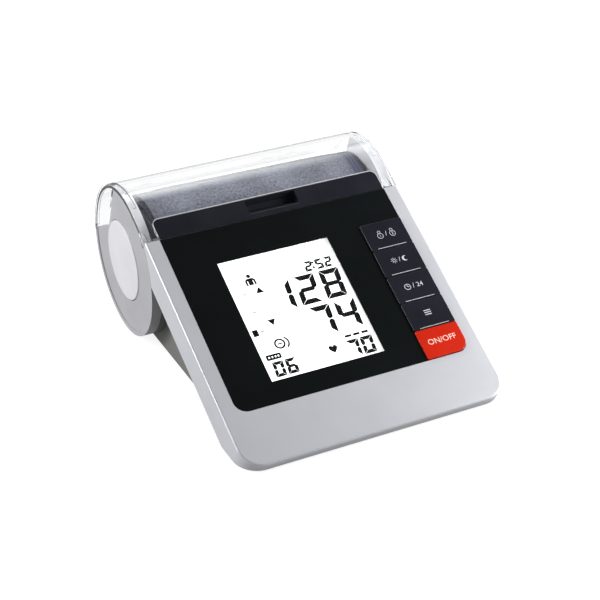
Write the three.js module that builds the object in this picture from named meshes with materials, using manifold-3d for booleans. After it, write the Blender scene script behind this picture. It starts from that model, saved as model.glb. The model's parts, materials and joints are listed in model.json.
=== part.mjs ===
// A desk-top digital blood pressure monitor. A sloping control case carries the display and
// five keys. A tube-shaped compartment behind it, with a clear hinged lid, keeps the rolled cuff.
//
// Millimetres, +Z up. The person using the monitor sits on the -Y side and +X is on their right.
// The origin is the middle of the outer box, on the table.

import * as THREE from 'three';
import { mergeVertices } from 'three/addons/utils/BufferGeometryUtils.js';
import Module from 'manifold-3d';

const wasm = await Module();
wasm.setup();

// Driving dimensions

const GAP = 0.3; // clearance between pieces that touch or slide on the real monitor
const FOOT_STAND_OFF = 1.2; // from the table to the lowest line of the case
const TUBE_SIDES = 52; // facets round the cuff tube
const ROOT = 1; // how deep a boss or rib is rooted in its piece, and how far a cut runs past a face

// Cuff compartment, a tube that lies across the back
const TUBE_RADIUS = 45.5;
const TUBE_WALL = 2.5;
const END_CAP_THICKNESS = 6;
const END_CAP_RECESS = 0.6;
const END_CAP_RIM = 3;
const END_CAP_SPIGOT = 1.6;
const SPIGOT_WALL = 1.5;
const BADGE_RADIUS = 24;
const BADGE_THICKNESS = 1.5;
const BADGE_EDGE = 0.8;
const BADGE_SIDES = 40;
const NOTCH_MARGIN = 1.6; // from the badge to the inner corner of the lid's end wall
const NOTCH_START = THREE.MathUtils.degToRad(3);
const NOTCH_CORNER = THREE.MathUtils.degToRad(33.4);
const NOTCH_END = THREE.MathUtils.degToRad(78);
const COMPARTMENT_LIP = 2.3;
const LIP_OVERLAP = 2; // the lip goes down past the trough's rim

// Lid and its latch strip, along the slope from where the flat face leaves the tube
const STRIP_OFFSET = 6.5;
const STRIP_LENGTH = 13.6;
const STRIP_CORNER = 4;
const LID_END_RIB = 2.4;
const POCKET_WIDTH = 32;
const POCKET_SHIFT = 1.5;
const POCKET_DEPTH = 6;
const POCKET_FLOOR = 3.4;
const POCKET_WALL = 1.2;
const POCKET_MARGIN = 2.1; // from the pocket's front edge to the strip's

// Hinge at the back of the tube
const HINGE_OFFSET = 1.7; // axis behind the outside of the tube
const HINGE_RISE = 0.8;
const KNUCKLE_RADIUS = 3;
const PIN_RADIUS = 1.2;
const PIN_INSET = 0.5;
const KNUCKLE_LENGTH = 6;
const LID_KNUCKLE_LENGTH = 11.4;
const HINGE_SPACING = 100;

// Rolled cuff
const ROLL_LENGTH = 136;
const ROLL_SHIFT = 2; // the roll lies nearer to the right end
const ROLL_END_ROOM = 2.4; // from the roll to the nearer end cap, at least
const CUFF_THICKNESS = 6;
const CUFF_END_THICKNESS = 2;
const CUFF_LAYER_GAP = 0.5;
const CUFF_TURNS = 4.6;
const CUFF_TURN_STEPS = 28;
const CUFF_THIN_TURNS = 1.5; // the outer turns without a bladder
const CUFF_TAPER_TURNS = 0.6;
const CUFF_END_ANGLE = THREE.MathUtils.degToRad(-60);
const ROLL_HEADROOM = 5.5; // how much lower the top of the roll lies than the clear lid's inside

// Display panel, keys and case
const LCD_WIDTH = 68.7;
const LCD_LENGTH = 79.1;
const LCD_LEFT_MARGIN = 25.2;
const LCD_TOP_MARGIN = 23.9;
const LCD_BOTTOM_MARGIN = 12.9;
const LCD_TO_KEYS = 21.5;
const PANEL_THICKNESS = 1.5;
const PANEL_CORNER = 7;
const PANEL_MARGIN = 9;
const KEY_WIDTH = 26.6;
const KEY_PITCH = 18.7;
const KEY_COUNT = 5;
const KEY_RISE = 1;
const KEY_TRAVEL = 0.7;
const KEY_EDGE = 0.5;
const KEY_CORNER = 0.8;
const KEY_FLANGE = 2;
const KEY_FLANGE_THICKNESS = 1;
const FRONT_MARGIN = 32.5;
const FRONT_EDGE_HEIGHT = 4.8;
const FRONT_CORNER = 13;
const CASE_EDGE = 1.8;
const CASE_WALL = 2.5;
const CASE_LEDGE = 1.5;
const CASE_SIDE_DEPTH = 19.3;

// Lower case
const BASE_INSET = 10.7;
const BASE_WALL = 2.2;
const BASE_LIFT = 0.6; // underside of the lower case above the lowest line of the case
const SCREW_INSET = 5.7;
const SCREW_POST_RADIUS = 2.8;
const SCREW_RADIUS = 1.2;
const SCREW_HEAD_RADIUS = 2;
const SCREW_HEAD_HEIGHT = 1.1;
const SCREW_LENGTH = 9;
const SCREW_SLOT_LENGTH = 2.4;
const SCREW_SLOT_WIDTH = 0.5;
const SCREW_SLOT_DEPTH = 0.6;
const SCREW_REAR_MARGIN = 26.4; // from the parting line to the rear screws
const SCREW_FRONT_MARGIN = 3.6; // from the panel to the front screws
const FOOT_RADIUS = 6;
const FOOT_SEAT = 1;
const FOOT_SIDE_MARGIN = 5.3;
const FOOT_REAR_MARGIN = 13;
const FOOT_FRONT_MARGIN = 7.8;

// Batteries and their bay
const CELL_RADIUS = 7.1;
const CELL_LENGTH = 50.5;
const CELL_NUB_RADIUS = 2.6;
const CELL_NUB_LENGTH = 1.4;
const CONTACT_ROOM = 5.5;
const CONTACT_THICKNESS = 0.5;
const CONTACT_SIZE = 10;
const SPRING_RADIUS = 3.6;
const SPRING_TIP_RADIUS = 1.8;
const BUTTON_RADIUS = 3;
const BUTTON_TIP_RADIUS = 2.2;
const BAY_WALL = 2;
const DOOR_THICKNESS = 2;
const DOOR_TONGUE = 1.5;
const DOOR_TONGUE_THICKNESS = 0.8;
const DOOR_TONGUE_MARGIN = 4; // from the door's front edge to its tongues
const DOOR_TRAVEL = 10;
const GRIP_WIDTH = 16;
const GRIP_MARGIN = 3;
const GRIP_COUNT = 4;
const GRIP_PITCH = 2;
const GRIP_DEPTH = 0.5;

// Display stack and main board
const LCD_BORDER = 3;
const LCD_THICKNESS = 2;
const BACKLIGHT_THICKNESS = 3.8;
const CONNECTOR_WIDTH = 2.6;
const BOARD_THICKNESS = 1.6;
const BOARD_MARGIN = 3;
const MAT_THICKNESS = 0.9;
const MAT_MARGIN = 1;
const DOME_RADIUS = 4;
const DOME_TOP_RADIUS = 2.8;
const DOME_GAP = 0.9;
const CHIP_SIZE = 14;
const CHIP_THICKNESS = 1.6;
const BEEPER_RADIUS = 6;
const BEEPER_HEIGHT = 4;
const CHIP_SETBACK = 36; // from the display's rear edge
const BEEPER_SETBACK = 20;

// Pump, valve and air lines
const PUMP_RADIUS = 12;
const MOTOR_LENGTH = 30;
const PUMP_HEAD_LENGTH = 22;
const PUMP_WALL = 1.5;
const PUMP_START = -52;
const MOTOR_END_WALL = 2;
const SHAFT_RADIUS = 1;
const CRANK_RADIUS = 7;
const CRANK_THICKNESS = 6;
const CRANK_OFFSET = 1.5;
const CRANK_GAP = 1;
const VALVE_SIZE = 13;
const VALVE_LENGTH = 15;
const VALVE_START = 14;
const PLUNGER_RADIUS = 2;
const PLUNGER_TRAVEL = 1;
const PLUNGER_CAP_RADIUS = 3.5;
const PLUNGER_CAP_THICKNESS = 1.5;
const VALVE_END_WALL = 2;
const SENSOR_SIZE = 10;
const SENSOR_HEIGHT = 5;
const SENSOR_MARGIN = 6;
const NIPPLE_RADIUS = 1.2;
const NIPPLE_LENGTH = 4;
const HOSE_RADIUS = 2.5;
const HOSE_WALL = 0.8;
const HOSE_LEAD = 2; // a hose's straight stretch past the tip of a nipple
const HOSE_ROOM = 3;
const MANIFOLD_SIZE = 8;
const MANIFOLD_LENGTH = 13;
const MANIFOLD_SPACING = 6.4;
const SOCKET_RISE = 2; // cuff socket above the pump's axis
const SOCKET_RADIUS = 5;
const SOCKET_FLANGE = 1.4;
const SOCKET_BORE = 3.2;
const SOCKET_DEPTH = 10;
const SOCKET_WALL = 1.5;
const JACK_SIZE = 9;
const JACK_DEPTH = 7.6;
const JACK_BORE = 2.9;
const JACK_WALL = 1.5;
const JACK_PIN = 0.8;

// Sizes that follow from them

const PANEL_WIDTH = LCD_LEFT_MARGIN + LCD_WIDTH + LCD_TO_KEYS + KEY_WIDTH;
const PANEL_LENGTH = LCD_TOP_MARGIN + LCD_LENGTH + LCD_BOTTOM_MARGIN;
const ROLL_SPACE = ROLL_LENGTH + 2 * Math.abs(ROLL_SHIFT) + 2 * ROLL_END_ROOM;
const CASE_WIDTH = Math.max(
  PANEL_WIDTH + 2 * PANEL_MARGIN,
  ROLL_SPACE + 2 * (END_CAP_THICKNESS + END_CAP_SPIGOT),
);
const HALF_WIDTH = CASE_WIDTH / 2;
const PARTING = STRIP_OFFSET + STRIP_LENGTH; // joint of lid and case, along the slope
const PANEL_END = PARTING + PANEL_LENGTH;
const FACE_LENGTH = PANEL_END + FRONT_MARGIN;

// The face is tangent to the tube and comes down to the front edge, which sets its slope.
const FACE_TILT =
  Math.acos((FRONT_EDGE_HEIGHT - TUBE_RADIUS) / Math.hypot(TUBE_RADIUS, FACE_LENGTH)) -
  Math.atan2(FACE_LENGTH, TUBE_RADIUS);
const TANGENT_ANGLE = Math.PI / 2 + FACE_TILT;
const RIM_ANGLE = TANGENT_ANGLE + Math.asin(PARTING / TUBE_RADIUS);
const TUBE_INSIDE = TUBE_RADIUS - TUBE_WALL;
const HINGE_Y = TUBE_RADIUS + HINGE_OFFSET;
const CAP_START = HALF_WIDTH - END_CAP_THICKNESS;
const TROUGH_HALF = CAP_START - GAP;
const PLATE_UNDERSIDE = -(PANEL_THICKNESS + GAP + CASE_LEDGE);
const FLANGE_TOP = -CASE_SIDE_DEPTH + BASE_WALL;
const BASE_BOTTOM = -TUBE_RADIUS + BASE_LIFT;
const BASE_FLOOR = BASE_BOTTOM + BASE_WALL;
const BASE_HALF = HALF_WIDTH - BASE_INSET;
const TABLE = -TUBE_RADIUS - FOOT_STAND_OFF;
const FACET_TURN = (2 * Math.PI) / TUBE_SIDES;
const BEYOND = 2 * CASE_WIDTH; // large enough to pass clear through the whole monitor

// Materials

const finish = (color, roughness, metalness = 0) =>
  new THREE.MeshStandardMaterial({ color, roughness, metalness });
const silver = () => finish(0xc9cbd2, 0.38, 0.25);
const greyPlastic = () => finish(0xb0b0b4, 0.5);
const darkPlastic = () => finish(0x6c6c6a, 0.55);
const lightPlastic = () => finish(0xdadade, 0.45);
const steel = () => finish(0xb8bcc2, 0.3, 0.95);
const brass = () => finish(0xc9a860, 0.35, 0.9);
const rubber = () => finish(0x2a2a2c, 0.9);
const blackGloss = () => finish(0x16191a, 0.12);
const keyPlastic = () => finish(0x1e2028, 0.4);
const boardGreen = () => finish(0x1d5a38, 0.6);
const silicone = () => finish(0xd8d8d4, 0.6);

// Groups: the tube's axis and, turned with the slope, the face plane

const monitor = new THREE.Group();
const tube = new THREE.Group();
const face = new THREE.Group();
face.position.set(0, -TUBE_RADIUS * Math.sin(FACE_TILT), TUBE_RADIUS * Math.cos(FACE_TILT));
face.rotation.x = FACE_TILT;
face.updateMatrix();
tube.add(face);
monitor.add(tube);

const faceInverse = face.matrix.clone().invert();
const toFace = (geometry) => geometry.applyMatrix4(faceInverse);
const toTube = (geometry) => geometry.applyMatrix4(face.matrix);

// A point of the face plane's section, slope millimetres down from the tangent line, seen from the
// tube's axis
function facePoint(slope, height) {
  const point = new THREE.Vector3(0, -slope, height).applyMatrix4(face.matrix);
  return [point.y, point.z];
}

const polar = (radius, angle) => [radius * Math.cos(angle), radius * Math.sin(angle)];

// Shapes

function solid(geometry) {
  geometry.deleteAttribute('normal');
  geometry.deleteAttribute('uv');
  const merged = mergeVertices(geometry, 1e-4);
  return new wasm.Manifold(new wasm.Mesh({
    numProp: 3,
    vertProperties: merged.attributes.position.array,
    triVerts: Uint32Array.from(merged.index.array),
  }));
}

const asSolid = (item) => (item.isBufferGeometry ? solid(item) : item);
const join = (first, ...rest) => rest.reduce((sum, item) => sum.add(asSolid(item)), asSolid(first));
const cut = (first, ...rest) => rest.reduce((sum, item) => sum.subtract(asSolid(item)), asSolid(first));
const common = (first, ...rest) => rest.reduce((sum, item) => sum.intersect(asSolid(item)), asSolid(first));

function place(group, name, item, material) {
  const { vertProperties, triVerts } = asSolid(item).getMesh();
  const geometry = new THREE.BufferGeometry();
  geometry.setAttribute('position', new THREE.BufferAttribute(vertProperties, 3));
  geometry.setIndex(new THREE.BufferAttribute(triVerts, 1));
  geometry.computeVertexNormals();
  const mesh = new THREE.Mesh(geometry, material);
  mesh.name = name;
  group.add(mesh);
  return mesh;
}

function block(x0, x1, y0, y1, z0, z1) {
  const geometry = new THREE.BoxGeometry(x1 - x0, y1 - y0, z1 - z0);
  return geometry.translate((x0 + x1) / 2, (y0 + y1) / 2, (z0 + z1) / 2);
}

function rodX(radius, x0, x1, y, z, sides = 32) {
  const geometry = new THREE.CylinderGeometry(radius, radius, x1 - x0, sides);
  return geometry.rotateZ(-Math.PI / 2).translate((x0 + x1) / 2, y, z);
}

function rodZ(radius, z0, z1, x, y, sides = 24, topRadius = radius) {
  const geometry = new THREE.CylinderGeometry(topRadius, radius, z1 - z0, sides);
  return geometry.rotateX(Math.PI / 2).translate(x, y, (z0 + z1) / 2);
}

const polygon = (points) => new THREE.Shape(points.map(([a, b]) => new THREE.Vector2(a, b)));

// A rectangle whose corners, from the lower left and round by the lower right, have own radii
function rounded(x0, x1, y0, y1, corners) {
  const places = [[x0, y0, 1, 1], [x1, y0, -1, 1], [x1, y1, -1, -1], [x0, y1, 1, -1]];
  const points = places.flatMap(([x, y, right, up], index) => {
    const radius = corners[index];
    if (radius === 0) return [[x, y]];
    const steps = Math.ceil(1.8 * Math.sqrt(radius));
    return Array.from({ length: steps + 1 }, (_, step) => {
      const angle = Math.PI + ((index + step / steps) * Math.PI) / 2;
      return [x + right * radius + radius * Math.cos(angle), y + up * radius + radius * Math.sin(angle)];
    });
  });
  return polygon(points);
}

function prism(shape, z0, z1) {
  const options = { depth: z1 - z0, bevelEnabled: false };
  return new THREE.ExtrudeGeometry(shape, options).translate(0, 0, z0);
}

// A prism whose upper and lower edges are rounded
function softPrism(shape, z0, z1, edge) {
  const options = {
    depth: z1 - z0 - 2 * edge,
    bevelEnabled: true,
    bevelThickness: edge,
    bevelSize: edge,
    bevelOffset: -edge,
    bevelSegments: 2,
  };
  return new THREE.ExtrudeGeometry(shape, options).translate(0, 0, z0 + edge);
}

// A section drawn in Y and Z, drawn out along X
function section(shape, x0, x1) {
  const basis = new THREE.Matrix4().makeBasis(
    new THREE.Vector3(0, 1, 0),
    new THREE.Vector3(0, 0, 1),
    new THREE.Vector3(1, 0, 0),
  );
  return prism(shape, x0, x1).applyMatrix4(basis);
}

// Points of an arc about the tube's axis, in the order from one angle to the other
function arcPoints(radius, from, to) {
  const steps = Math.max(2, Math.ceil(Math.abs(to - from) / FACET_TURN));
  return Array.from({ length: steps + 1 }, (_, index) => {
    return polar(radius, from + ((to - from) * index) / steps);
  });
}

// A hose with a bore along a smooth route
function hose(points) {
  const ring = new THREE.Shape();
  ring.absarc(0, 0, HOSE_RADIUS, 0, 2 * Math.PI, false);
  const bore = new THREE.Path();
  bore.absarc(0, 0, HOSE_RADIUS - HOSE_WALL, 0, 2 * Math.PI, true);
  ring.holes.push(bore);
  const extrudePath = new THREE.CatmullRomCurve3(points.map((point) => new THREE.Vector3(...point)));
  const steps = Math.max(6, Math.round(extrudePath.getLength() / (2.5 * HOSE_RADIUS)));
  return new THREE.ExtrudeGeometry(ring, { extrudePath, steps, curveSegments: 4, bevelEnabled: false });
}

// Case top: a shallow silver shell that follows the face, cut level just above the table

function caseOutline(inset) {
  const corner = Math.max(FRONT_CORNER - inset, 1);
  const half = HALF_WIDTH - inset;
  return rounded(-half, half, inset - FACE_LENGTH, TUBE_RADIUS, [corner, corner, 0, 0]);
}

// Everything under a level plane, height millimetres below or above the tube's axis
const below = (height) => block(-BEYOND, BEYOND, -BEYOND, BEYOND, height - BEYOND, height);
const faceCylinder = (radius) => toFace(rodX(radius, -BEYOND, BEYOND, 0, 0, TUBE_SIDES));

const panelLeft = -PANEL_WIDTH / 2;
const panelRight = PANEL_WIDTH / 2;
const lcdLeft = panelLeft + LCD_LEFT_MARGIN;
const lcdRight = lcdLeft + LCD_WIDTH;
const lcdTop = -(PARTING + LCD_TOP_MARGIN);
const lcdBottom = lcdTop - LCD_LENGTH;
const glassLeft = lcdLeft - LCD_BORDER;
const glassRight = lcdRight + LCD_BORDER;
const glassBottom = lcdBottom - LCD_BORDER;
const glassRear = lcdTop + LCD_BORDER;
const keyLeft = panelRight - KEY_WIDTH;
const keyBottom = -PANEL_END;
const keyTop = keyBottom + KEY_COUNT * KEY_PITCH;
const postX = HALF_WIDTH - SCREW_INSET;
const rearScrew = PARTING + SCREW_REAR_MARGIN;
const frontScrew = PANEL_END + SCREW_FRONT_MARGIN;
const postPlaces = [rearScrew, (rearScrew + frontScrew) / 2, frontScrew].flatMap((slope) => {
  return [[-postX, -slope], [postX, -slope]];
});

function topCase() {
  const outside = softPrism(caseOutline(0), -CASE_SIDE_DEPTH - 2 * CASE_EDGE, 0, CASE_EDGE);
  const rearWall = common(
    faceCylinder(TUBE_RADIUS + GAP + CASE_WALL),
    block(-BEYOND, BEYOND, -BEYOND, BEYOND, FLANGE_TOP + GAP, 0),
  );
  const inside = cut(
    prism(caseOutline(CASE_WALL), -BEYOND, PLATE_UNDERSIDE),
    rearWall,
    block(-BEYOND, BEYOND, -PARTING - GAP - CASE_WALL, BEYOND, FLANGE_TOP + GAP, 0),
  );
  const pocketCorner = PANEL_CORNER + GAP;
  const pocket = rounded(
    panelLeft - GAP, panelRight + GAP, keyBottom - GAP, 0, [pocketCorner, pocketCorner, 0, 0],
  );
  const shell = cut(
    outside,
    inside,
    block(-BEYOND, BEYOND, -PARTING - GAP, BEYOND, -BEYOND, BEYOND),
    block(-BEYOND, BEYOND, -BEYOND, BEYOND, -BEYOND, -CASE_SIDE_DEPTH),
    faceCylinder(TUBE_RADIUS + GAP),
    prism(pocket, -PANEL_THICKNESS - GAP, BEYOND),
    block(glassLeft - GAP, glassRight + GAP, glassBottom - GAP, glassRear + GAP, -BEYOND, BEYOND),
    prism(keyOpening(), -BEYOND, BEYOND),
    toFace(below(-TUBE_RADIUS)),
  );
  const posts = postPlaces.map(([x, y]) => {
    return rodZ(SCREW_POST_RADIUS, FLANGE_TOP + GAP, PLATE_UNDERSIDE + ROOT, x, y);
  });
  const holes = postPlaces.map(([x, y]) => {
    return rodZ(SCREW_RADIUS + GAP, -CASE_SIDE_DEPTH, FLANGE_TOP + SCREW_LENGTH, x, y, 16);
  });
  return cut(join(shell, ...posts), ...holes);
}

// The opening that the key column comes up through, open to the panel's right and lower edges
function keyOpening() {
  const corner = PANEL_CORNER + GAP;
  return rounded(keyLeft - GAP, panelRight + GAP, keyBottom - GAP, keyTop + GAP, [0, corner, 0, 0]);
}

function panel() {
  const corners = [PANEL_CORNER, PANEL_CORNER, 0, 0];
  const plate = rounded(panelLeft, panelRight, keyBottom, -PARTING - GAP, corners);
  return cut(
    prism(plate, -PANEL_THICKNESS, 0),
    block(lcdLeft, lcdRight, lcdBottom, lcdTop, -BEYOND, BEYOND),
    block(keyLeft - GAP, BEYOND, -BEYOND, keyTop + GAP, -BEYOND, BEYOND),
  );
}

// Keys stand proud of the panel and are held by a flange under its left edge.
function key(index) {
  const y0 = keyBottom + (KEY_COUNT - 1 - index) * KEY_PITCH + GAP / 2;
  const y1 = y0 + KEY_PITCH - GAP;
  const outerCorner = index === KEY_COUNT - 1 ? PANEL_CORNER : KEY_CORNER;
  const outline = rounded(keyLeft, panelRight, y0, y1, [KEY_CORNER, outerCorner, KEY_CORNER, KEY_CORNER]);
  const underside = keyFlangeTop - KEY_FLANGE_THICKNESS;
  const cap = cut(
    softPrism(outline, underside - 2 * KEY_EDGE, KEY_RISE, KEY_EDGE),
    block(-BEYOND, BEYOND, -BEYOND, BEYOND, -BEYOND, underside),
  );
  const flange = block(keyLeft - KEY_FLANGE, keyLeft + ROOT, y0, y1, underside, keyFlangeTop);
  return join(cap, flange);
}

// Display stack, from the window down to the main board

const keyFlangeTop = PLATE_UNDERSIDE - GAP;
const glassTop = -PANEL_THICKNESS - GAP;
const backlightTop = glassTop - LCD_THICKNESS - GAP;
const boardTop = backlightTop - BACKLIGHT_THICKNESS - GAP;
const boardBottom = boardTop - BOARD_THICKNESS;
const matTop = boardTop + GAP + MAT_THICKNESS;

function lcdGlass() {
  const middle = glassTop - LCD_THICKNESS / 2;
  const upperRear = glassRear - CONNECTOR_WIDTH;
  return join(
    block(glassLeft, glassRight, glassBottom, upperRear, middle, glassTop),
    block(glassLeft, glassRight, glassBottom, glassRear, glassTop - LCD_THICKNESS, middle),
  );
}

function backlight() {
  const rear = glassRear - CONNECTOR_WIDTH - GAP;
  return block(glassLeft, glassRight, glassBottom, rear, backlightTop - BACKLIGHT_THICKNESS, backlightTop);
}

function lcdConnector() {
  return block(lcdLeft, lcdRight, glassRear - CONNECTOR_WIDTH, glassRear, boardTop + GAP, backlightTop);
}

// Silicone mat with a dome under each key; the dome keeps clear of the key by a little more than
// the key's travel
function keyMat() {
  const domeTop = keyFlangeTop - KEY_FLANGE_THICKNESS - DOME_GAP;
  const x = (keyLeft + panelRight) / 2;
  const domes = Array.from({ length: KEY_COUNT }, (_, index) => {
    const y = keyBottom + (index + 0.5) * KEY_PITCH;
    return rodZ(DOME_RADIUS, matTop - MAT_THICKNESS / 2, domeTop, x, y, 20, DOME_TOP_RADIUS);
  });
  const left = keyLeft - KEY_FLANGE;
  const sheet = block(left, panelRight, keyBottom + MAT_MARGIN, keyTop, matTop - MAT_THICKNESS, matTop);
  return join(sheet, ...domes);
}

function mainBoard() {
  const half = HALF_WIDTH - CASE_WALL - BOARD_MARGIN;
  const wallRadius = TUBE_RADIUS + GAP + CASE_WALL + BOARD_MARGIN;
  const rear = -Math.sqrt(wallRadius ** 2 - (TUBE_RADIUS + boardBottom) ** 2);
  const posts = postPlaces.map(([x, y]) => rodZ(SCREW_POST_RADIUS + GAP, -BEYOND, BEYOND, x, y));
  return cut(block(-half, half, keyBottom - BOARD_MARGIN, rear, boardBottom, boardTop), ...posts);
}

// Lower case: a flange that closes the sloping shell, a level toe at the front, and the deep
// housing for batteries and pump, which stands in from the shell's sides

const underTop = (height) => block(-BEYOND, BEYOND, -BEYOND, BEYOND, height, BEYOND);
const aboveFace = (height) => toTube(underTop(height));
const tubeCylinder = (radius) => rodX(radius, -BEYOND, BEYOND, 0, 0, TUBE_SIDES);

const pumpZ = BASE_FLOOR + GAP + PUMP_RADIUS;
const pumpY = -Math.sqrt((TUBE_RADIUS + GAP + BASE_WALL + GAP + PUMP_RADIUS) ** 2 - pumpZ ** 2);
const bayRear = pumpY - PUMP_RADIUS - GAP - BAY_WALL;
const bayLength = 4 * CELL_RADIUS + 3 * GAP;
const bayFront = bayRear - bayLength;
const bayHalf = CELL_LENGTH + CONTACT_ROOM;
const cellZ = BASE_BOTTOM + DOOR_THICKNESS + GAP + CELL_RADIUS;
const bayTop = cellZ + CELL_RADIUS + GAP;
const doorHalf = bayHalf + BAY_WALL - GAP;
const tongueBottom = BASE_BOTTOM + DOOR_THICKNESS - DOOR_TONGUE_THICKNESS;
const slideFront = bayFront - DOOR_TRAVEL - GAP;
const socketY = pumpY;
const socketZ = pumpZ + SOCKET_RISE;
const jackY = (bayRear + bayFront) / 2;
const jackZ = cellZ;
const jackRoom = JACK_SIZE / 2 + GAP;

const footX = BASE_HALF - FOOT_SIDE_MARGIN - FOOT_RADIUS;
const plateRear = -Math.sqrt((TUBE_RADIUS + GAP) ** 2 - BASE_BOTTOM ** 2);
const rearFootY = plateRear - FOOT_REAR_MARGIN - FOOT_RADIUS;
const frontFootY = slideFront - BASE_WALL - FOOT_FRONT_MARGIN - FOOT_RADIUS;
const footPlaces = [[-footX, rearFootY], [footX, rearFootY], [-footX, frontFootY], [footX, frontFootY]];

function housing(wall) {
  return cut(
    block(wall - BASE_HALF, BASE_HALF - wall, -BEYOND, 0, BASE_BOTTOM + wall, TUBE_RADIUS),
    tubeCylinder(TUBE_RADIUS + GAP + wall),
    aboveFace(FLANGE_TOP - wall),
  );
}

function baseCase() {
  const coverOutline = toTube(prism(caseOutline(CASE_WALL + GAP), -BEYOND, 0));
  const cover = cut(
    coverOutline,
    common(aboveFace(FLANGE_TOP), underTop(-TUBE_RADIUS + BASE_WALL)),
    below(-TUBE_RADIUS),
    tubeCylinder(TUBE_RADIUS + GAP),
    toTube(block(-BEYOND, BEYOND, -PARTING, BEYOND, -BEYOND, BEYOND)),
    toTube(block(-BEYOND, BEYOND, -BEYOND, BEYOND, -BEYOND, -CASE_SIDE_DEPTH)),
  );
  const hollow = cut(
    block(BASE_WALL - BASE_HALF, BASE_HALF - BASE_WALL, -BEYOND, 0, BASE_FLOOR, TUBE_RADIUS),
    tubeCylinder(TUBE_RADIUS + GAP + BASE_WALL),
    aboveFace(FLANGE_TOP + ROOT),
    block(-BEYOND, BEYOND, -BEYOND, slideFront - 2 * BASE_WALL, -BEYOND, TUBE_RADIUS),
  );
  const bayOuter = bayHalf + BAY_WALL;
  const bay = block(
    -bayOuter, bayOuter, bayFront - BAY_WALL, bayRear + BAY_WALL, BASE_BOTTOM, bayTop + BAY_WALL,
  );
  const slideTop = BASE_BOTTOM + DOOR_THICKNESS + GAP;
  const slideRear = bayRear + BAY_WALL / 2;
  const railHalf = doorHalf + DOOR_TONGUE + GAP;
  const doorPath = block(-doorHalf - GAP, doorHalf + GAP, slideFront, slideRear, -BEYOND, slideTop);
  const tonguePath = block(-railHalf, railHalf, slideFront, slideRear, tongueBottom - GAP, slideTop);
  const rails = block(
    -railHalf - BAY_WALL, railHalf + BAY_WALL, slideFront - BASE_WALL, bayRear + BAY_WALL, BASE_BOTTOM,
    slideTop + BASE_WALL,
  );
  const cells = block(-bayHalf, bayHalf, bayFront, bayRear, BASE_BOTTOM, bayTop);
  const screwHoles = postPlaces.map(([x, y]) => {
    return toTube(rodZ(SCREW_RADIUS + GAP, -BEYOND, FLANGE_TOP + ROOT, x, y, 16));
  });
  const screwSeats = postPlaces.map(([x, y]) => {
    const seatTop = -CASE_SIDE_DEPTH + SCREW_HEAD_HEIGHT + GAP;
    return toTube(rodZ(SCREW_HEAD_RADIUS + GAP, -BEYOND, seatTop, x, y, 20));
  });
  const footSeats = footPlaces.map(([x, y]) => {
    return rodZ(FOOT_RADIUS + GAP, -BEYOND, BASE_BOTTOM + FOOT_SEAT, x, y, 24);
  });
  return cut(
    join(cut(join(cover, housing(0)), hollow), bay, rails),
    cells,
    doorPath,
    tonguePath,
    ...screwHoles,
    ...screwSeats,
    ...footSeats,
    rodX(SOCKET_RADIUS + GAP, BASE_HALF - 2 * BASE_WALL, BEYOND, socketY, socketZ, 24),
    block(
      BASE_HALF - 2 * BASE_WALL, BEYOND, jackY - jackRoom, jackY + jackRoom, jackZ - jackRoom,
      jackZ + jackRoom,
    ),
  );
}

function batteryDoor() {
  const y0 = bayFront + GAP / 2;
  const y1 = bayRear + BAY_WALL / 2 - GAP;
  const top = BASE_BOTTOM + DOOR_THICKNESS;
  const tongueHalf = doorHalf + DOOR_TONGUE;
  const tongues = block(-tongueHalf, tongueHalf, y0 + DOOR_TONGUE_MARGIN, y1, tongueBottom, top);
  const grip = Array.from({ length: GRIP_COUNT }, (_, index) => {
    const y = y0 + GRIP_MARGIN + index * GRIP_PITCH;
    return block(
      -GRIP_WIDTH / 2, GRIP_WIDTH / 2, y, y + GRIP_PITCH / 2, BASE_BOTTOM - ROOT, BASE_BOTTOM + GRIP_DEPTH,
    );
  });
  return cut(join(block(-doorHalf, doorHalf, y0, y1, BASE_BOTTOM, top), tongues), ...grip);
}

const rowY = (row) => bayRear - GAP - CELL_RADIUS - row * (2 * CELL_RADIUS + GAP);

// Four cells in two rows; each row lies end to end across the case
function battery(row, side) {
  const y = rowY(row);
  const nubOnRight = row === 0;
  const x0 = side * (CELL_LENGTH / 2) + (side * GAP) / 2 - CELL_LENGTH / 2;
  const bodyStart = nubOnRight ? x0 : x0 + CELL_NUB_LENGTH;
  const nubStart = nubOnRight ? x0 + CELL_LENGTH - CELL_NUB_LENGTH - ROOT : x0;
  return join(
    rodX(CELL_RADIUS, bodyStart, bodyStart + CELL_LENGTH - CELL_NUB_LENGTH, y, cellZ, 28),
    rodX(CELL_NUB_RADIUS, nubStart, nubStart + CELL_NUB_LENGTH + ROOT, y, cellZ, 16),
  );
}

// A contact plate stands against the end wall of the bay; a button or a coned spring on it
// reaches each cell.
function contact(side, rows) {
  const wall = side * (bayHalf - GAP);
  const plateFace = wall - side * CONTACT_THICKNESS;
  const cellEnd = side * (CELL_LENGTH + GAP / 2 + GAP);
  const half = CONTACT_SIZE / 2;
  const ys = rows.map(rowY);
  const [x0, x1] = [Math.min(wall, plateFace), Math.max(wall, plateFace)];
  const plate = block(
    x0, x1, Math.min(...ys) - half, Math.max(...ys) + half, cellZ - half, cellZ + half,
  );
  const root = CONTACT_THICKNESS / 2;
  const noses = rows.map((row) => {
    const sprung = (row === 0) === (side < 0);
    const tip = sprung ? SPRING_TIP_RADIUS : BUTTON_TIP_RADIUS;
    const foot = sprung ? SPRING_RADIUS : BUTTON_RADIUS;
    const cone = new THREE.CylinderGeometry(tip, foot, Math.abs(plateFace - cellEnd) + root, 16);
    cone.rotateZ((side * Math.PI) / 2);
    return cone.translate((plateFace + cellEnd + side * root) / 2, rowY(row), cellZ);
  });
  return join(plate, ...noses);
}

// Cuff compartment: a trough that is open to the top, its ends, the lid and the hinge

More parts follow.
